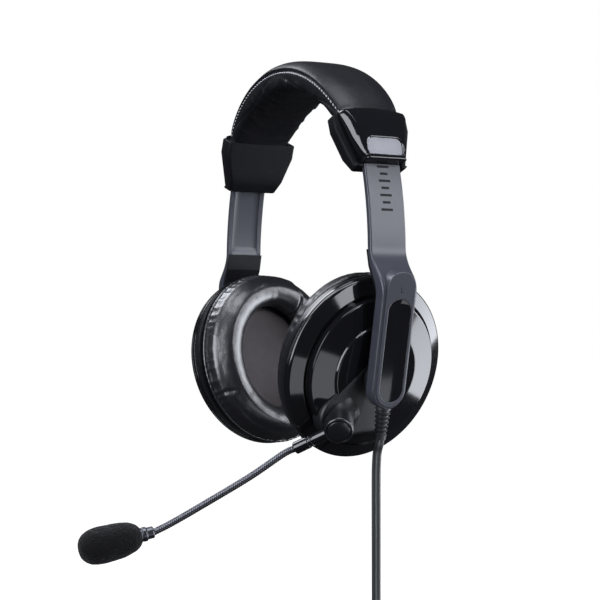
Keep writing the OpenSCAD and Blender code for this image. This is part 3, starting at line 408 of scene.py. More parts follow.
def hank_point(t):
    """A point of the hank by turns: in to its middle on one layer, then out again on the next."""
    f = (t - math.floor(t)) * 8
    r = HANK_IN + HANK_STEP * abs(HANK_TURNS - t)
    half = HANK_RUN / 2
    d = min(max((t - HANK_TURNS) * 8, -1), 1)
    rise = HANK_LAYER * (0.5 + 0.5 * math.sin(math.radians(90 * d)))
    if f < 1 or f >= 7 or 3 <= f < 5:
        side = -1 if 3 <= f < 5 else 1
        z = -f * half if f < 1 else (8 - f) * half if f >= 7 else (f - 4) * half
        x = side * (r - HANK_DRAW * math.cos(math.pi * z / HANK_RUN) ** 2)
        h = z
    else:
        low = f < 3
        w = math.radians((f - 1 if low else f - 5) * 90)
        x = (1 if low else -1) * r * math.cos(w)
        h = (-1 if low else 1) * (half + r * math.sin(w))
    return [HANK_X + x, rise, HANK_Z + h]


relief_end = RELIEF_FOOT + RELIEF_DIR * RELIEF_L
lead_route = [relief_end, relief_end + RELIEF_DIR * 3, [67, 0, -185], [66.3, 0, -191], [LEAD_X, 0, -198],
              [LEAD_X, 0, -225], [LEAD_X, 0, -260], [LEAD_X, 0, LEAD_END]]
split_top = np.array([LEAD_X, HANK_LAYER, HANK_Z - HANK_RUN / 2 - 30])
turns = np.arange(-1 / 8, 2 * HANK_TURNS + 1 / 8 + 1e-9, 1 / 48)
lead_path = np.array(list(smooth_line(lead_route, 4)) + [hank_point(t) for t in turns[1:]]
                     + [list(split_top + [0, 0, LEAD_W]), list(split_top)])
# two round cores side by side with a web between them
w = np.linspace(0, 2 * math.pi, 24, endpoint=False)
twin = np.stack([LEAD_W / 2 * np.sign(np.cos(w)) * np.abs(np.cos(w)) ** 0.9,
                 LEAD_T / 2 * np.sin(w) * (0.62 + 0.38 * np.minimum(1, np.abs(np.cos(w)) / 0.45))], -1)
points, faces = tube(lead_path, twin, [0, 1, 0])
lead = piece("lead", points, faces, RUBBER, "left_arm", ("cord", "cord_hank"))
split_low = split_top - [0, 0, 12]
for name, s, plug in (("headphone_lead", -1, "headphone"), ("microphone_lead", 1, "microphone")):
    end = split_low + [0, s * 8, -32]
    start = split_low + [0, s * 1.6, 0]
    bend = smooth_line([start - [0, 0, 3], split_low + [0, s * 4.5, -16], end + [0, 0, 3]], 8)
    route = np.array([start, *bend, end])
    points, faces = tube(route, circle(16, LEAD_T / 2), [1, 0, 0])
    single = piece("single_" + name, points, faces, RUBBER, "left_arm", (name,))

# Light: a white backdrop, dark surroundings for the gloss, and soft boxes
world = bpy.data.worlds.new("studio")
scene.world = world
world.use_nodes = True
nodes, links = world.node_tree.nodes, world.node_tree.links
shown = nodes["Background"]
shown.inputs["Color"].default_value = (1, 1, 1, 1)
shown.inputs["Strength"].default_value = 1.0
dim = nodes.new("ShaderNodeBackground")
dim.inputs["Color"].default_value = (0.9, 0.92, 1.0, 1)
dim.inputs["Strength"].default_value = 0.04
ray = nodes.new("ShaderNodeLightPath")
choose = nodes.new("ShaderNodeMixShader")
links.new(ray.outputs["Is Camera Ray"], choose.inputs["Fac"])
links.new(dim.outputs["Background"], choose.inputs[1])
links.new(shown.outputs["Background"], choose.inputs[2])
links.new(choose.outputs["Shader"], nodes["World Output"].inputs["Surface"])


def soft_box(name, direction, distance, size, radiance):
    """A soft box in a direction from the middle of the picture, by how bright its face is."""
    data = bpy.data.lights.new(name, "AREA")
    data.shape = "RECTANGLE"
    data.size, data.size_y = size
    data.energy = math.pi * size[0] * size[1] * radiance
    data.color = COOL
    obj = bpy.data.objects.new(name, data)
    scene.collection.objects.link(obj)
    middle = target * MM
    obj.location = middle + Vector(direction).normalized() * distance
    obj.rotation_mode = "QUATERNION"
    obj.rotation_quaternion = (middle - obj.location).to_track_quat("-Z", "Y")
    obj.visible_camera = False


COOL = (0.90, 0.93, 1.0)
soft_box("right_box", (0.34, 0.92, -0.06), 0.95, (0.50, 0.85), 9.0)
soft_box("high_box", (0.85, 0.435, 0.31), 1.0, (0.44, 0.58), 7.0)
soft_box("low_box", (0.86, 0.16, -0.57), 0.62, (0.42, 0.20), 2.0)
soft_box("rear_box", (-0.57, -0.29, 0.77), 1.1, (0.55, 0.5), 9.0)
soft_box("left_box", (0.30, -0.95, 0.24), 1.15, (0.62, 1.0), 8.0)
soft_box("top_box", (0.27, -0.04, 1.1), 1.1, (0.8, 0.6), 6.0)

FLOOR_Z, FLOOR_HALF = -0.47, 20
floor_mesh = bpy.data.meshes.new("floor")
corners = [(x * FLOOR_HALF, y * FLOOR_HALF, FLOOR_Z) for x, y in ((-1, -1), (1, -1), (1, 1), (-1, 1))]
floor_mesh.from_pydata(corners, [], [(0, 1, 2, 3)])
floor = bpy.data.objects.new("floor", floor_mesh)
scene.collection.objects.link(floor)
pale = bpy.data.materials.new("pale_floor")
pale.use_nodes = True
surface = pale.node_tree.nodes["Principled BSDF"].inputs
surface["Base Color"].default_value = (0.9, 0.9, 0.9, 1)
surface["Roughness"].default_value = 0.9
surface["Emission Color"].default_value = (1, 1, 1, 1)
surface["Emission Strength"].default_value = 1.0
floor.visible_glossy = floor.visible_diffuse = False
floor_mesh.materials.append(pale)
scene.view_settings.view_transform = "Standard"


# Materials of the CAD nodes that show as they are
def paint(mat, *names):
    for name in names:
        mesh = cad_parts[name].data
        mesh.materials.clear()
        mesh.materials.append(mat)


def both(*names):
    return [f"{side}_{name}" for side in SIDES for name in names]


SIDES = ("left", "right")
paint(GLOSS, *both("cap_outer", "arm_insert", "cup_shell"), "boom_mount", "boom_knob", "boom_sleeve", "mic_housing")
paint(SATIN_BLACK, *both("cap_inner", "arm_cover", "arm_screws", "baffle", "pivot_bush"), "hank_tie", "knob_cap")
paint(GREY, *both("arm"))
paint(CLOTH, *both("speaker_cloth"))
paint(MATT_BLACK, "cap_screws")
paint(STEEL, *both("cup_screws", "ball_stud", "driver"), "headband_spring", "mic_capsule", "mic_collar",
      "headphone_plug", "microphone_plug")
paint(RUBBER, "strain_relief", "lead_splitter", "headphone_grip", "microphone_grip")
paint(GUNMETAL, "gooseneck_base", "gooseneck_tip")
paint(FOAM, "windscreen")
paint(LEATHER, *both("ear_cushion"), "headband_pad")


# Headband pad: crowned top panel, stitched seams along its edges, gathered underside
def pad_puff(degrees):
    """How far the pad swells at an angle of the arch, from 0 at the end caps to 1 at the crown."""
    share = (degrees - CAP_TOP_ANGLE) / (180 - 2 * CAP_TOP_ANGLE)
    return np.maximum(np.sin(math.pi * share), 0) ** 0.6


def pad_thickness(degrees):
    share = (degrees - PAD_END) / (180 - 2 * PAD_END)
    return PAD_END_T + (PAD_T - PAD_END_T) * np.maximum(np.sin(math.pi * share), 0) ** 0.8


# height of the seam on the pad's edges, from -1 at the underside to 1 at the top
PAD_SEAM = 0.40
# the pad stops sooner inside the caps than in the part's source, clear of the straps
PAD_SHORT = 6.4


def pad_form(rows=240, cols=120):
    a = np.linspace(PAD_END + PAD_SHORT, 180 - PAD_SHORT - PAD_END, rows)[:, None]
    s = -np.linspace(0, 2 * math.pi, cols, endpoint=False)[None, :]
    c = np.sign(np.cos(s)) * np.abs(np.cos(s)) ** 0.45 + 0 * a
    h = np.sign(np.sin(s)) * np.abs(np.sin(s)) ** 0.62 + 0 * a
    t = pad_thickness(a)
    edge = np.abs(c) ** 6
    out = np.abs(a - 90) / 52
    lens = np.sin(np.pi * np.clip(out, 0, 1)) ** 1.4
    low = PAD_SEAM - 0.30 - 0.85 * lens
    push = -1.0 * np.exp(-((h - PAD_SEAM) / 0.085) ** 2) * edge
    push += 0.45 * np.exp(-((h - PAD_SEAM - 0.26) / 0.15) ** 2) * edge
    push += -0.55 * np.exp(-((h - low) / 0.11) ** 2) * edge * (0.3 + 0.7 * lens)
    push += -0.35 * edge * (h < PAD_SEAM) * (h > low)
    puff = pad_puff(a)
    y = c * (PAD_W / 2 + PAD_SWELL * puff)
    # gathers run slantwise across the underside from both edges
    under = np.clip((-h - 0.15) / 0.5, 0, 1)
    aa, yy = np.broadcast_arrays(a, y)
    wob = wave(aa * 1.2, yy * 0.6, 0 * aa, 9.0, 3.1)
    fold = 1 - np.abs(np.sin(np.radians((aa + 0.55 * np.sign(yy) * yy * 0.8) * 18) + 2.2 * wob))
    gather = under * (1.25 * fold ** 1.6 - 0.35) * (0.25 + 0.75 * np.abs(c) ** 2)
    push = push + gather * np.clip(1.25 - out, 0, 1)
    soft = wave(aa * 1.2, yy, h * 7, 13.0, 8.3)
    push = push + 0.3 * soft * np.clip(1.3 - out, 0, 1)
    push = push * np.clip((1.14 - out) / 0.1, 0, 1)
    r = ARCH_R - t / 2 + h * t / 2 + (PAD_RISE * puff - PAD_CROWN * np.abs(c) ** 3) * np.maximum(h, 0)
    n = np.maximum(np.hypot(c ** 5, h ** 3), 1e-6)
    r = r + push * h ** 3 / n
    y = y + push * c ** 5 / n
    a = np.radians(a)
    return np.stack([r * np.cos(a), y + 0 * a, ARCH_Z + r * np.sin(a)], -1)


points, faces = loft(pad_form())
pad = piece("pad", points, faces, PAD, "headband", ("headband_pad",))


def stitches(starts, ends, outward, radius, name, body):
    """Short threads, each a little bow from start to end, lifted along outward in its middle."""
    parts = []
    for a, b, n in zip(np.asarray(starts), np.asarray(ends), np.asarray(outward)):
        line = [a + (b - a) * t + n * 1.1 * radius * math.sin(math.pi * t) for t in (0, 0.2, 0.5, 0.8, 1)]
        sizes = [circle(6, radius * k) for k in (0.45, 0.9, 1.0, 0.9, 0.45)]
        parts.append(tube(line, np.array(sizes), n))
    points, faces = merge(*parts)
    piece(name, points, faces, THREAD, body)


STITCH_STEP, STITCH_HALF, STITCH_SLANT, STITCH_R = 1.85, 0.75, 0.12, 0.27
# how far the stitches lie inside the pad's edge, and below the seam as a share of the pad's half thickness
STITCH_IN, STITCH_LOW = 0.65, 0.17
degrees = np.arange(CAP_TOP_ANGLE, 181 - CAP_TOP_ANGLE, STITCH_STEP)
turn = np.radians(degrees)
for name, side in (("front", -1), ("back", 1)):
    puff = pad_puff(degrees)
    t = pad_thickness(degrees)
    r = ARCH_R - t / 2 + (PAD_SEAM - STITCH_LOW) * (t / 2 + PAD_RISE * puff)
    y = side * (PAD_W / 2 - STITCH_IN + PAD_SWELL * puff)
    mid = np.stack([r * np.cos(turn), y, ARCH_Z + r * np.sin(turn)], -1)
    tangent = np.stack([-np.sin(turn), 0 * turn, np.cos(turn)], -1)
    radial = np.stack([np.cos(turn), 0 * turn, np.sin(turn)], -1)
    reach = tangent * STITCH_HALF + radial * STITCH_SLANT
    stitches(mid - reach, mid + reach, np.tile([0, side * 1.0, 0], (len(turn), 1)), STITCH_R, "pad_stitches_" + name,
             "headband")


# Ear cushions: a crowned ring, gathered at its seams, with a lapped joint and a crimped piping
# middle and half width of the ring along the cup and across it, the cover's back and its half depth
CUSHION_ALONG, CUSHION_ACROSS = (37.8, 9.2), (33.9, 10.1)
CUSHION_BACK, CUSHION_HALF_H = -6.9, 7.7
PIPING_ALONG, PIPING_ACROSS, PIPING_Z, PIPING_CRIMPS = 46.1, 43.1, -8.2, 46
# lapped joints of the cover: angle, slant, depth, and how far in from the rim they run
LAPS = ((math.radians(152), 0.10, 1.6, -3), (math.radians(-58), -0.08, 0.5, 0.35))


def cushion_form(seed, rows=320, cols=96):
    """Rows run around the cup, columns around the ring: cc from hole to rim, hh from front to back."""
    f = np.linspace(0, 2 * math.pi, rows, endpoint=False)[:, None]
    s = np.linspace(0, 2 * math.pi, cols, endpoint=False)[None, :]
    sn = np.sin(s)
    c = np.sign(np.cos(s)) * np.abs(np.cos(s)) ** np.where(sn > 0, 0.6, 0.85)
    h = np.sign(sn) * np.abs(sn) ** np.where(sn > 0, 0.35, 0.9)
    ff, cc, hh = f + 0 * c, c + 0 * f, h + 0 * f
    ring = (40 * np.cos(ff), 36 * np.sin(ff))
    wob = wave(*ring, 3 * cc, 11.0, seed)
    size = wave(*ring, 0 * cc, 14.0, seed + 5)
    ridge_out = 1 - np.abs(np.sin(27 * ff + 4.0 * wob))
    ridge_in = 1 - np.abs(np.sin(15 * ff + 5.0 * wob + 1.0))
    rim = np.clip(cc, 0, 1) ** 2 * np.exp(-((hh - 0.6) / 0.5) ** 2)
    hole = np.clip(-cc, 0, 1) ** 1.5 * np.clip(0.75 + 0.5 * hh, 0, 1)
    # the hole's puckers are strongest at its lower end, where the cover was drawn in
    low_end = np.clip(0.25 + 0.75 * np.cos(ff - 0.35), 0.12, 1)
    push = rim * (0.8 * ridge_out ** 1.3 - 0.4) * np.clip(0.7 + 0.9 * size, 0.15, 1.4)
    push += hole * (1.1 * ridge_in ** 1.4 - 0.35) * np.clip(0.6 + 1.1 * size, 0, 1.5) * low_end
    push += -0.7 * np.exp(-((hh - 0.45) / 0.25) ** 2) * np.clip(cc, 0, 1) ** 3
    push += -5.0 * np.clip(cc, 0, 1) * np.clip((0.8 - hh) / 1.8, 0, 1) ** 1.3
    soft = wave(*ring, 9 * cc + 4 * hh, 17.0, seed + 9)
    push += 0.25 * soft * np.clip(-hh + 0.6, 0, 1)
    fine = wave(*ring, 9 * cc + 7 * hh, 4.5, seed + 2)
    push += 0.10 * fine
    for at, slant, depth, inner in LAPS:
        d = (np.mod(ff - at - slant * cc + math.pi, 2 * math.pi) - math.pi) * 35
        front = np.clip(-hh + 0.55, 0, 1) * np.clip((cc - inner) / 0.3, 0, 1)
        past = np.maximum(d, 0)
        swell = 0.9 * depth * np.exp(-past / 7) * (d > 0) * (d < 40) * (1 - np.exp(-past / 1.0))
        push += front * (-depth * np.exp(-(d / 0.9) ** 2) + swell)
    push = push * np.clip((0.97 - hh) / 0.1, 0, 1)
    n = np.maximum(np.hypot(cc, hh), 1e-6)
    x = (CUSHION_ALONG[0] + CUSHION_ALONG[1] * cc + push * cc / n) * np.cos(ff)
    y = (CUSHION_ACROSS[0] + CUSHION_ACROSS[1] * cc + push * cc / n) * np.sin(ff)
    z = CUSHION_BACK + (hh - 1) * CUSHION_HALF_H + np.minimum(push, 1.2) * np.minimum(hh, 0) / n
    return np.stack([x, y, z], -1)


def piping(seed, rows=420, cols=10):
    f = np.linspace(0, 2 * math.pi, rows, endpoint=False)
    line = np.stack([PIPING_ALONG * np.cos(f), PIPING_ACROSS * np.sin(f), np.full(rows, PIPING_Z)], -1)
    r = 0.9 + 0.14 * np.abs(np.sin(f * PIPING_CRIMPS)) + 0.12 * wave(45 * np.cos(f), 45 * np.sin(f), 0 * f, 5.0, seed)
    w = np.linspace(0, 2 * math.pi, cols, endpoint=False)
    away = np.stack([np.cos(f), np.sin(f), 0 * f], -1)
    around = np.cos(w)[None, :, None] * away[:, None, :] + np.sin(w)[None, :, None] * np.array([0, 0, 1])
    rings = line[:, None, :] + r[:, None, None] * around
    return list(rings.reshape(-1, 3)), grid_faces(rows, cols, close_rows=True)


for side, place in CUPS:
    seed = 2.0 if side == "left" else 6.5
    form = cushion_form(seed)
    cover = form.reshape(-1, 3), grid_faces(*form.shape[:2], close_rows=True)
    points, faces = merge(cover, piping(seed))
    cushion = piece(side + "_cushion", place(points), faces, LEATHER, side + "_cup", (side + "_ear_cushion",),
                    flip=side == "left")


# End caps: glossy outer half with a scoop, matt inner half, a channel for the strap between them
CAP_SIDE_H, CAP_OUT, CAP_FACE_R, CAP_BULGE = 23.25, 8.0, 46.0, 12.0
CHANNEL_HALF_W, CHANNEL_OUT, CHANNEL_IN = 10.75, 2.8, -1.85
SCOOP_HALF_W, SCOOP_MID, SCOOP_HALF_H = 10.7, 10.6, 4.8


def ease(t):
    t = np.clip(t, 0, 1)
    return t * t * (3 - 2 * t)


def cap_ring(z, w, x, split, channel, radius, count, flat):
    """One level of a cap half: a U around the strap, its far corners between round and flat."""
    s = np.sign(x - split)
    r = min(radius, abs(x - split) * 0.6)
    half = []
    for a in np.linspace(0, math.pi / 2, 13):
        k = 2 * a / math.pi
        across, out = (1 - flat) * math.sin(a) + flat * k, (1 - flat) * math.cos(a) + flat * (1 - k)
        half.append((x - s * r + s * r * across, w - r + r * out))
    side = [(split + (x - s * r - split) * k, w) for k in (0, 0.5)]
    face = [(x, y) for y in np.linspace(w - r, r - w, count)[1:-1]]
    outline = side + half + face
    outline += [(px, -py) for px, py in reversed(side + half)]
    outline += [(px, py * CHANNEL_HALF_W) for px, py in ((split, -1), (channel, -1), (channel, 1), (split, 1))]
    if s > 0:
        outline.reverse()
    return np.array([(px, py, z) for px, py in outline])


def cap_outer_half():
    levels = [(3.5, 0.7), (3.6, 0.35), (3.85, 0.1)] + [(z, 0) for z in np.arange(4.2, 28.6, 0.3)]
    levels += [(28.9, 0.05), (29.5, 0.25), (30.1, 0.6), (30.6, 1.1), (30.9, 1.7), (31, 2.4)]
    rings = []
    for z, inset in levels:
        front = CAP_OUT - CAP_FACE_R + math.sqrt(CAP_FACE_R ** 2 - max(z - CAP_BULGE, 0) ** 2)
        w = 11.4 + 8.4 * max(z - 6, 0) ** 0.75 / 25 ** 0.75
        bevel = np.interp(z, [4, 8, 16, 24, 31], [1.2, 2.4, 3.9, 3.4, 2.6])
        ring = cap_ring(z, w - inset, front - inset, 0.0, CHANNEL_OUT, bevel, 120, 0.74)
        x, y = ring[:, 0], ring[:, 1]
        # the scoop: a rounded box, deepest along its straight lower edge
        corner = 4.2 if z > SCOOP_MID else 1.2
        qy = np.abs(y) - min(SCOOP_HALF_W, w - 1.3) + corner
        qz = abs(z - SCOOP_MID) - SCOOP_HALF_H + corner
        inside = corner - np.hypot(np.maximum(qy, 0), np.maximum(qz, 0)) - np.minimum(np.maximum(qy, qz), 0)
        depth = (1.9 - 1.5 * np.clip((z - 5.9) / 9.5, 0, 1)) * ease(inside / 0.7)
        ring[:, 0] = np.where(x > front - inset - 0.01, x - depth, x)
        # higher in the middle than at the sides
        rise = ease((z - 12) / 19)
        ring[:, 2] += (3.2 - 3.0 * (y / 20.5) ** 2) * rise
        rings.append(ring)
    return loft(rings)


def cap_inner_half():
    levels = [(2.2, 0.5), (2.32, 0.2), (2.6, 0)] + [(z, 0) for z in (3.0, 3.49, 3.51, 6, 9.3, 14, 20, 23.25, 27)]
    levels += [(30.4, 0), (30.8, 0.2), (31, 0.6)]
    rings = []
    for z, inset in levels:
        w = 13.5 + 7.0 * min(z / CAP_SIDE_H, 1)
        face = -4.95 - 4.02 * min(z / 9.3, 1)
        rings.append(cap_ring(z, w - inset, face + inset, 1.5 if z < 3.5 else 0.0, CHANNEL_IN, 1.4, 12, 0.35))
    return loft(rings)


for side in SIDES:
    for half, form, mat in (("outer", cap_outer_half, GLOSS), ("inner", cap_inner_half, MATT_BLACK)):
        local, faces = form()
        points = cap(local)
        obj = piece(f"{side}_cap_{half}_half", points if side == "left" else mirrored(points), faces, mat, "headband",
                    (f"{side}_cap_{half}",), flip=side == "right")
        harden(obj)
        if half == "outer":
            # the floor of the scoop is a lighter satin grey, a painted highlight for the light its sloped floor
            # catches
            x, y, z = np.array(local).T
            painted_highlight_floor = (x > 5) & (x < 7.45) & (np.abs(y) < 9.9) & (z > 6.0) & (z < 15.3)
            obj.data.materials.append(SCOOP_PAINTED_HIGHLIGHT)
            for polygon in obj.data.polygons:
                polygon.material_index = int(painted_highlight_floor[list(polygon.vertices)].all())

# Side letter on the left arm's plate
bars = []
LETTER_LOW, LETTER_HIGH = 23.0, 23.24
for x0, x1, y0, y1 in ((-42.0, -39.5, -0.75, -0.35), (-39.9, -39.5, -0.35, 0.85)):
    ring = np.array([(x0, y0), (x1, y0), (x1, y1), (x0, y1)])
    bars.append(loft([np.column_stack([ring, np.full(4, z)]) for z in (LETTER_LOW, LETTER_HIGH)]))
points, faces = merge(*bars)
piece("side_letter", left_arm(points), faces, LETTER_AND_GROOVE_SHADE, "left_arm", smooth=False)


# Ear cup shells: banded rim, sunk ring, sloped facet and raised disc
SHELL = [(44.5, -2), (44.5, -4), (46.5, -4), (46.5, -2.2), (46.1, -2.0), (46.1, -1.5), (46.5, -1.3), (46.5, -0.5),
         (45.8, 0.5), (39, 3.2), (39, 2.4), (37, 2.4), (37, 6.2), (36.5, 6.6), (24.5, 8.5), (24, 9.8), (0, 9.8)]
SHELL_R = [0, 0.2, 0.5, 0.15, 0.12, 0.12, 0.15, 0.5, 0.6, 0.35, 0.2, 0.2, 0.5, 0.5, 0.35, 0.6, 0]
for side, place in CUPS:
    shell = lathe(fillet(SHELL, SHELL_R, 6), 192, place)
    hub = lathe(fillet([(4.5, 9), (4.5, 10.5), (0, 10.5)], 0.4), 48, lambda p: place(p + [1, 0, 0]))
    points, faces = merge(shell, hub)
    harden(piece(side + "_shell", points, faces, GLOSS, side + "_cup", (side + "_cup_shell",), flip=side == "right"))

# Boom: fairing on the shell, neck, knob with its cap, sleeve, ribbed gooseneck, collar and windscreen
tilt, turned = math.radians(36), math.radians(64)
KNOB_AT = np.array([21.5, -19.5, 9.8])
KNOB_FOOT = left_cup(KNOB_AT)
knob_local = np.array([math.sin(tilt) * math.cos(turned), -math.sin(tilt) * math.sin(turned), math.cos(tilt)])
KNOB_DIR = left_cup(knob_local) - left_cup([0, 0, 0])
KNOB_C = KNOB_FOOT + KNOB_DIR * 9.06
BOOM = KNOB_C + np.array([[-17, -14.3, -10.5], [-30.5, -33, -25], [-44, -53, -39.5], [-51, -65, -47.5],
                          [-55.8, -76, -52.5]])
BOOM_DIR = unit(BOOM[0] - KNOB_C)
MIC_C = BOOM[4]
MIC_DIR = unit(np.array([-8, -28, -6.5]))
KNOB_SEAT = 5.06
SLEEVE_R, SLEEVE_GROOVE_R, SLEEVE_IN, SLEEVE_L = 3.1, 2.6, 4.6, 25.0
NECK_R, RIB_DEPTH, RIB_PITCH, NECK_GRIP, BEND_HALF = 1.74, 0.16, 1.2, 5.9, 9.0


def hull_ring(circles, inset, n=160):
    """Evenly spaced points around the hull of circles, all of them smaller by inset."""
    w = np.linspace(0, 2 * math.pi, 1440, endpoint=False)
    normals = np.stack([np.cos(w), np.sin(w)], -1)
    centres = np.array([c[:2] for c in circles], float)
    radii = np.maximum(np.array([c[2] for c in circles], float) - inset, 0.02)
    best = np.argmax(normals @ centres.T + radii, axis=1)
    line = centres[best] + radii[best][:, None] * normals
    line = np.vstack([line, line[:1]])
    return resample(line, np.linspace(0, distances(line)[-1], n, endpoint=False))


def face_height(r):
    """Height of the shell's outer face at a distance from its middle."""
    return np.interp(r, [0, 24, 24.4, 36.5, 37, 39, 46.5], [9.8, 9.8, 8.6, 6.6, 3.2, 3.2, -0.5])


FAIRING = [(1, 0, 9.5), (21.5, -19.5, 10.6), (21.5, 2, 9.5)]
rings = []
for inset, drop in ((0, 9), (0, 2.2), (0.15, 1.4), (0.5, 0.75), (1.1, 0.32), (1.9, 0.1), (3, 0)):
    ring = hull_ring(FAIRING, inset)
    bed = face_height(np.hypot(ring[:, 0], ring[:, 1])) - 0.4
    top = 10.4 - drop
    rings.append(np.column_stack([ring, np.maximum(bed, top) if drop < 9 else bed - 0.2]))
fairing_points, fairing_faces = loft(rings, cap_first=False)
neck_profile = [(10.2, -4.5), (8.6, -2.6), (7.2, 0), (6.5, 2.5), (6.4, 5), (0, 5)]
neck = lathe(fillet(neck_profile, [0, 2, 2, 2, 0.4, 0], 6), 96, along(KNOB_FOOT, KNOB_DIR))
points, faces = merge((left_cup(fairing_points), fairing_faces), neck)
harden(piece("fairing", points, faces, SOFT_BLACK, "left_cup", ("boom_mount",)))
knob_place = along(KNOB_FOOT + KNOB_DIR * KNOB_SEAT, KNOB_DIR)
knob_profile = [(0, 0), (6.4, 0), (7.2, 0.7), (7.2, 7.2), (6.5, 8.0), (5.9, 8.0), (5.75, 7.1), (0, 7.1)]
points, faces = lathe(fillet(knob_profile, [0, 0.3, 0.3, 0.5, 0.4, 0.2, 0.1, 0]), 128, knob_place)
harden(piece("knob", points, faces, SATIN_BLACK, "boom", ("boom_knob",)))
crown = [(5.6 * math.cos(a), 7.95 + 0.95 * math.sin(a)) for a in np.radians(np.arange(15, 90, 5))]
dome = [(5.55, 7.0), (5.6, 7.9), *crown, (0, 8.9)]
points, faces = lathe(dome, 96, knob_place)
piece("knob_cap_dome", points, faces, SATIN_BLACK, "boom", ("knob_cap",))
sleeve, rounding = [(0, SLEEVE_IN), (SLEEVE_R, SLEEVE_IN)], [0, 0.2]
for z in (14, 16):
    sleeve += [(SLEEVE_R, z), (SLEEVE_GROOVE_R, z + 0.1), (SLEEVE_GROOVE_R, z + 0.9), (SLEEVE_R, z + 1)]
    rounding += [0.25, 0.1, 0.1, 0.25]
sleeve += [(SLEEVE_R, SLEEVE_L - 0.4), (SLEEVE_R - 0.6, SLEEVE_L), (0, SLEEVE_L)]
points, faces = lathe(fillet(sleeve, rounding + [0.5, 0.3, 0]), 64, along(KNOB_C, BOOM_DIR))
harden(piece("sleeve", points, faces, GLOSS, "boom", ("boom_sleeve",)))

neck_out = KNOB_C + BOOM_DIR * SLEEVE_L
line = np.vstack([neck_out - BOOM_DIR * NECK_GRIP,
                  smooth_line([neck_out, neck_out + BOOM_DIR * 7, *BOOM[1:4], MIC_C - MIC_DIR * 4], 24), MIC_C])
at = np.arange(0, distances(line)[-1], 0.15)
rib = NECK_R - RIB_DEPTH * (0.5 - 0.5 * np.cos(2 * math.pi * at / RIB_PITCH)) ** 2
points, faces = tube(resample(line, at), np.array([circle(20, r) for r in rib]), [0, 0, 1])
gooseneck = piece("gooseneck", points, faces, GUNMETAL, None, ("gooseneck_base", "gooseneck_tip"))
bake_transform(gooseneck)
mic_place = along(MIC_C, MIC_DIR)
collar = [(0, -3.5), (2.5, -3.5), (2.95, -3), (2.95, -0.1), (3.6, 0.3), (3.6, 2.0), (3.35, 2.2), (3.35, 2.6),
          (3.6, 2.8), (3.6, 5), (0, 5)]
points, faces = lathe(fillet(collar, 0.2, 4), 64, mic_place)
harden(piece("collar", points, faces, GUNMETAL, "mic", ("mic_collar",)))


def foam_form(rows=150, cols=120):
    """A rounded foam sleeve, a little uneven, with open pores."""
    t = np.concatenate([[0], 0.5 - 0.5 * np.cos(np.linspace(0.02, math.pi, rows))])
    rings = []
    for k in t:
        r = 9.2 * max(0.0, 1 - abs(2 * k - 1) ** 3.4) ** 0.42 * (0.86 + 0.14 * min(1, k / 0.6))
        ring = circle(cols, max(r, 3.3 if k < 0.5 else 0.05))
        rings.append(np.column_stack([ring, np.full(cols, 2.2 + 32 * k)]))
    rings = np.array(rings)
    flat = rings.reshape(-1, 3)
    dent = 0.22 * wave(*flat.T, 5.5, 1.3) + 0.10 * wave(*flat.T, 1.1, 4.0)
    out = flat * [1, 1, 0]
    out /= np.maximum(np.linalg.norm(out, axis=1), 1e-6)[:, None]
    return (flat + out * dent[:, None]).reshape(rings.shape)


points, faces = loft(foam_form())
foam = piece("windscreen_foam", mic_place(points), faces, FOAM, "mic", ("windscreen",))


# Inserts of the arms' plates: gloss, a little crowned, with the upper end sloped to catch the light
ARM_OUT, ARM_IN, ARM_HALF_W, ARM_LOW = 22.0, 15.2, 9.6, 9.0
STRAP_HALF_W, STRAP_IN, STRAP_OUT = 10.3, 10.5, 63.0
PLATE_TOP, PLATE_HALF_W, PLATE_FROM, PLATE_TO = 23.2, 8.0, -41.8, 9.4
SEAT_HALF_W, SEAT_FROM, SEAT_TO = 6.5, -29.8, 8.2
INSERT_GAP, INSERT_SINK = 0.05, 0.08


def insert_form():
    half_w = SEAT_HALF_W - INSERT_GAP
    middle = (SEAT_FROM + SEAT_TO) / 2
    rings = []
    for inset in (0, 0.1, 0.3, 0.6, 1.2, 2.2, 3.4, 4.6, 5.6, 6.2, 6.45):
        ring = hull_ring([(SEAT_FROM, 0, half_w), (SEAT_TO, 0, half_w)], inset, 120)
        along_it = np.clip((np.abs(ring[:, 0] - middle) - 6) / 20, 0, 1)
        top_end = np.clip((-22 - ring[:, 0]) / 14, 0, 1)
        lift = 0.22 * (1 - (1 - inset / SEAT_HALF_W) ** 2) - 0.1 * along_it ** 2
        lift = lift - 0.9 * top_end ** 2 * min(inset / 3, 1)
        rings.append(np.column_stack([ring, PLATE_TOP - INSERT_SINK + lift]))
    rings.insert(0, rings[0] - [0, 0, 1.0])
    return loft(rings)


for side, place in ARMS:
    points, faces = insert_form()
    piece(side + "_insert", place(points), faces, GLOSS, side + "_arm", (side + "_arm_insert",), flip=side == "right")


# Arms: strap, smooth shoulder and lower arm in one moulding, with a raised plate around the insert
def arm_local(points):
    """From the row frame to the left lower arm's frame."""
    return (np.asarray(points, float) - PIVOT) @ turn_y(90 + ARM_LEAN).T + PIVOT_AT


def strap_at(degrees, radius):
    """A place on the strap's curve, along the arm and outwards."""
    return arm_local(STRAP_C + on_arc(radius, degrees))[[0, 2]]


outer_line, inner_line = [], []
for s in np.arange(STRAP_IN, -STRAP_OUT, -2.0):
    degrees = STRAP_LEAN + math.degrees(s / STRAP_R)
    outer_line.append(strap_at(degrees, STRAP_R + STRAP_T / 2))
    inner_line.append(strap_at(degrees, STRAP_R - STRAP_T / 2))
while outer_line[-1][0] > -60:
    outer_line.pop()
    inner_line.pop()
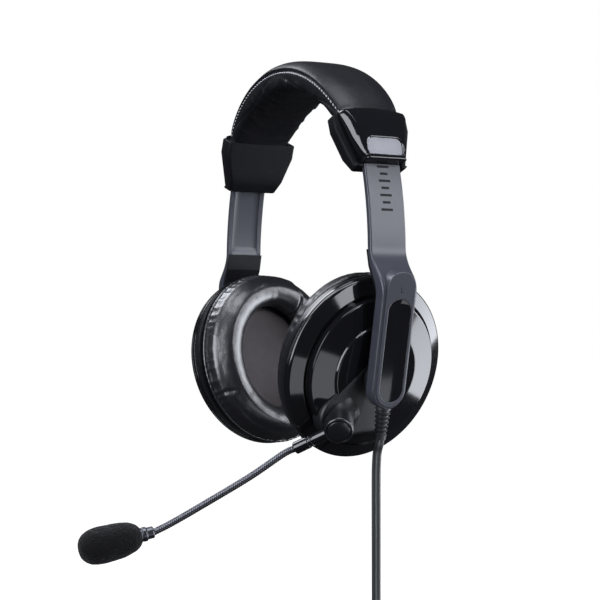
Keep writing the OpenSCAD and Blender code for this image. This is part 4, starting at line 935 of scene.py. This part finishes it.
# bend between strap and lower arm: (along the arm, outwards) on its outer and on its inner side
SHOULDER = [(-57.2, 7.2, -57.0, 4.2), (-54.2, 9.0, -53.0, 6.0), (-51.4, 11.5, -49.6, 8.2),
            (-48.8, 14.6, -46.6, 10.6), (-46.4, 17.6, -43.8, 12.9), (-44.0, 19.9, -41.4, 14.3),
            (-41.2, 21.4, -39.2, 14.95), (-38.2, 21.95, -37.0, ARM_IN), (-35.0, ARM_OUT, -34.6, ARM_IN)]
for xo, zo, xi, zi in SHOULDER:
    outer_line.append(np.array([xo, zo]))
    inner_line.append(np.array([xi, zi]))
round_end = ARM_LOW + ARM_HALF_W * np.sin(np.radians(np.arange(6, 90, 6)))
for x in [*np.arange(-32, ARM_LOW, 2.0), *round_end, ARM_LOW + ARM_HALF_W - 0.02]:
    outer_line.append(np.array([x, ARM_OUT]))
    inner_line.append(np.array([x, ARM_IN]))
outer_line = smooth_line(outer_line, 3)
inner_line = smooth_line(inner_line, 3)


def arm_form():
    """Sections along the arm, hollow from inside where the strap's groove and the arm's pocket are."""
    rings = []
    for o, i in zip(outer_line, inner_line):
        x = o[0]
        if x < ARM_LOW:
            w = np.interp(x, [-46, -36], [STRAP_HALF_W, ARM_HALF_W])
        else:
            w = math.sqrt(max(ARM_HALF_W ** 2 - (x - ARM_LOW) ** 2, 0.02))
        up_dir = unit(o - i)
        t = np.linalg.norm(o - i)
        deep = np.interp(x, [-62, -58, -37, -35, 12.4, 13.2], [1.0, 0, 0, 4.8, 4.8, 0])
        lip = np.interp(x, [-58, -37], [2.4, 1.9])
        floor_w = max(w - lip, 0.3 * w)
        r = min(np.interp(x, [-58, -40], [0.9, 1.6]), 0.6 * w, 0.45 * t)
        half = [(0.0, t), (0.25 * (w - r), t), (0.5 * (w - r), t), (0.8 * (w - r), t)]
        half += [(w - r + r * math.sin(a), t - r + r * math.cos(a)) for a in np.linspace(0, math.pi / 2, 7)]
        half += [(w, 0.5 * t), (w, 0.35), (w - 0.1, 0.1), (w - 0.35, 0), (floor_w + 0.05, 0), (floor_w, 0.05)]
        half += [(floor_w, deep), (0.5 * floor_w, deep), (0.0, deep)]
        section = half + [(-y, h) for y, h in reversed(half[1:-1])]
        rings.append([(i[0] + up_dir[0] * h, y, i[1] + up_dir[1] * h) for y, h in section])
    return loft(np.array(rings))


def plate_form():
    """The raised plate from its foot to its rim, and down into the insert's seat; heights from the plate's top."""
    outer = [(PLATE_FROM, 0, PLATE_HALF_W), (PLATE_TO, 0, PLATE_HALF_W)]
    seat = [(SEAT_FROM, 0, SEAT_HALF_W), (SEAT_TO, 0, SEAT_HALF_W)]
    edge = ((0, -9.2), (0, -1.4), (0, -0.6), (0.06, -0.3), (0.2, -0.1), (0.42, 0), (1.0, 0))
    rim = ((-0.25, 0), (-0.1, -0.03), (0.0, -0.15), (0.0, -1.2))
    rings = [np.column_stack([hull_ring(outline, inset, 160), np.full(160, PLATE_TOP + z)])
             for outline, steps in ((outer, edge), (seat, rim)) for inset, z in steps]
    return loft(rings, cap_first=False)


MARKS, MARK_LONG, MARK_SHORT, MARK_W = 7, 6.6, 4.4, 1.2
# the first mark's place along the strap, just below the end cap, and the marks' heights on the strap
MARK_FIRST, MARK_LOW, MARK_HIGH = 2.3, 0.8, 1.53


# the click marks: dark strips flush with the strap, painted shade standing in for the shade inside its grooves
def mark_form():
    parts = []
    for i in range(MARKS):
        half = (MARK_LONG if i % 2 == 0 else MARK_SHORT) / 2
        degrees = STRAP_LEAN + math.degrees((MARK_FIRST - CLICK * i) / STRAP_R)
        rings = []
        for radius in (STRAP_R + MARK_LOW, STRAP_R + MARK_HIGH):
            ends = [strap_at(degrees + s * math.degrees(MARK_W / 2 / STRAP_R), radius) for s in (-1, 1)]
            rings.append([(ends[0][0], -half, ends[0][1]), (ends[0][0], half, ends[0][1]),
                          (ends[1][0], half, ends[1][1]), (ends[1][0], -half, ends[1][1])])
        parts.append(loft(np.array(rings)))
    return merge(*parts)


for side, place in ARMS:
    arm_points, arm_faces = merge(arm_form(), plate_form())
    harden(piece(side + "_arm_moulding", place(arm_points), arm_faces, GREY, side + "_arm", (side + "_arm",),
                 flip=side == "right"))
    mark_points, mark_faces = mark_form()
    piece(side + "_click_mark_shade", place(mark_points), mark_faces, LETTER_AND_GROOVE_SHADE, side + "_arm", flip=side == "right",
          smooth=False)
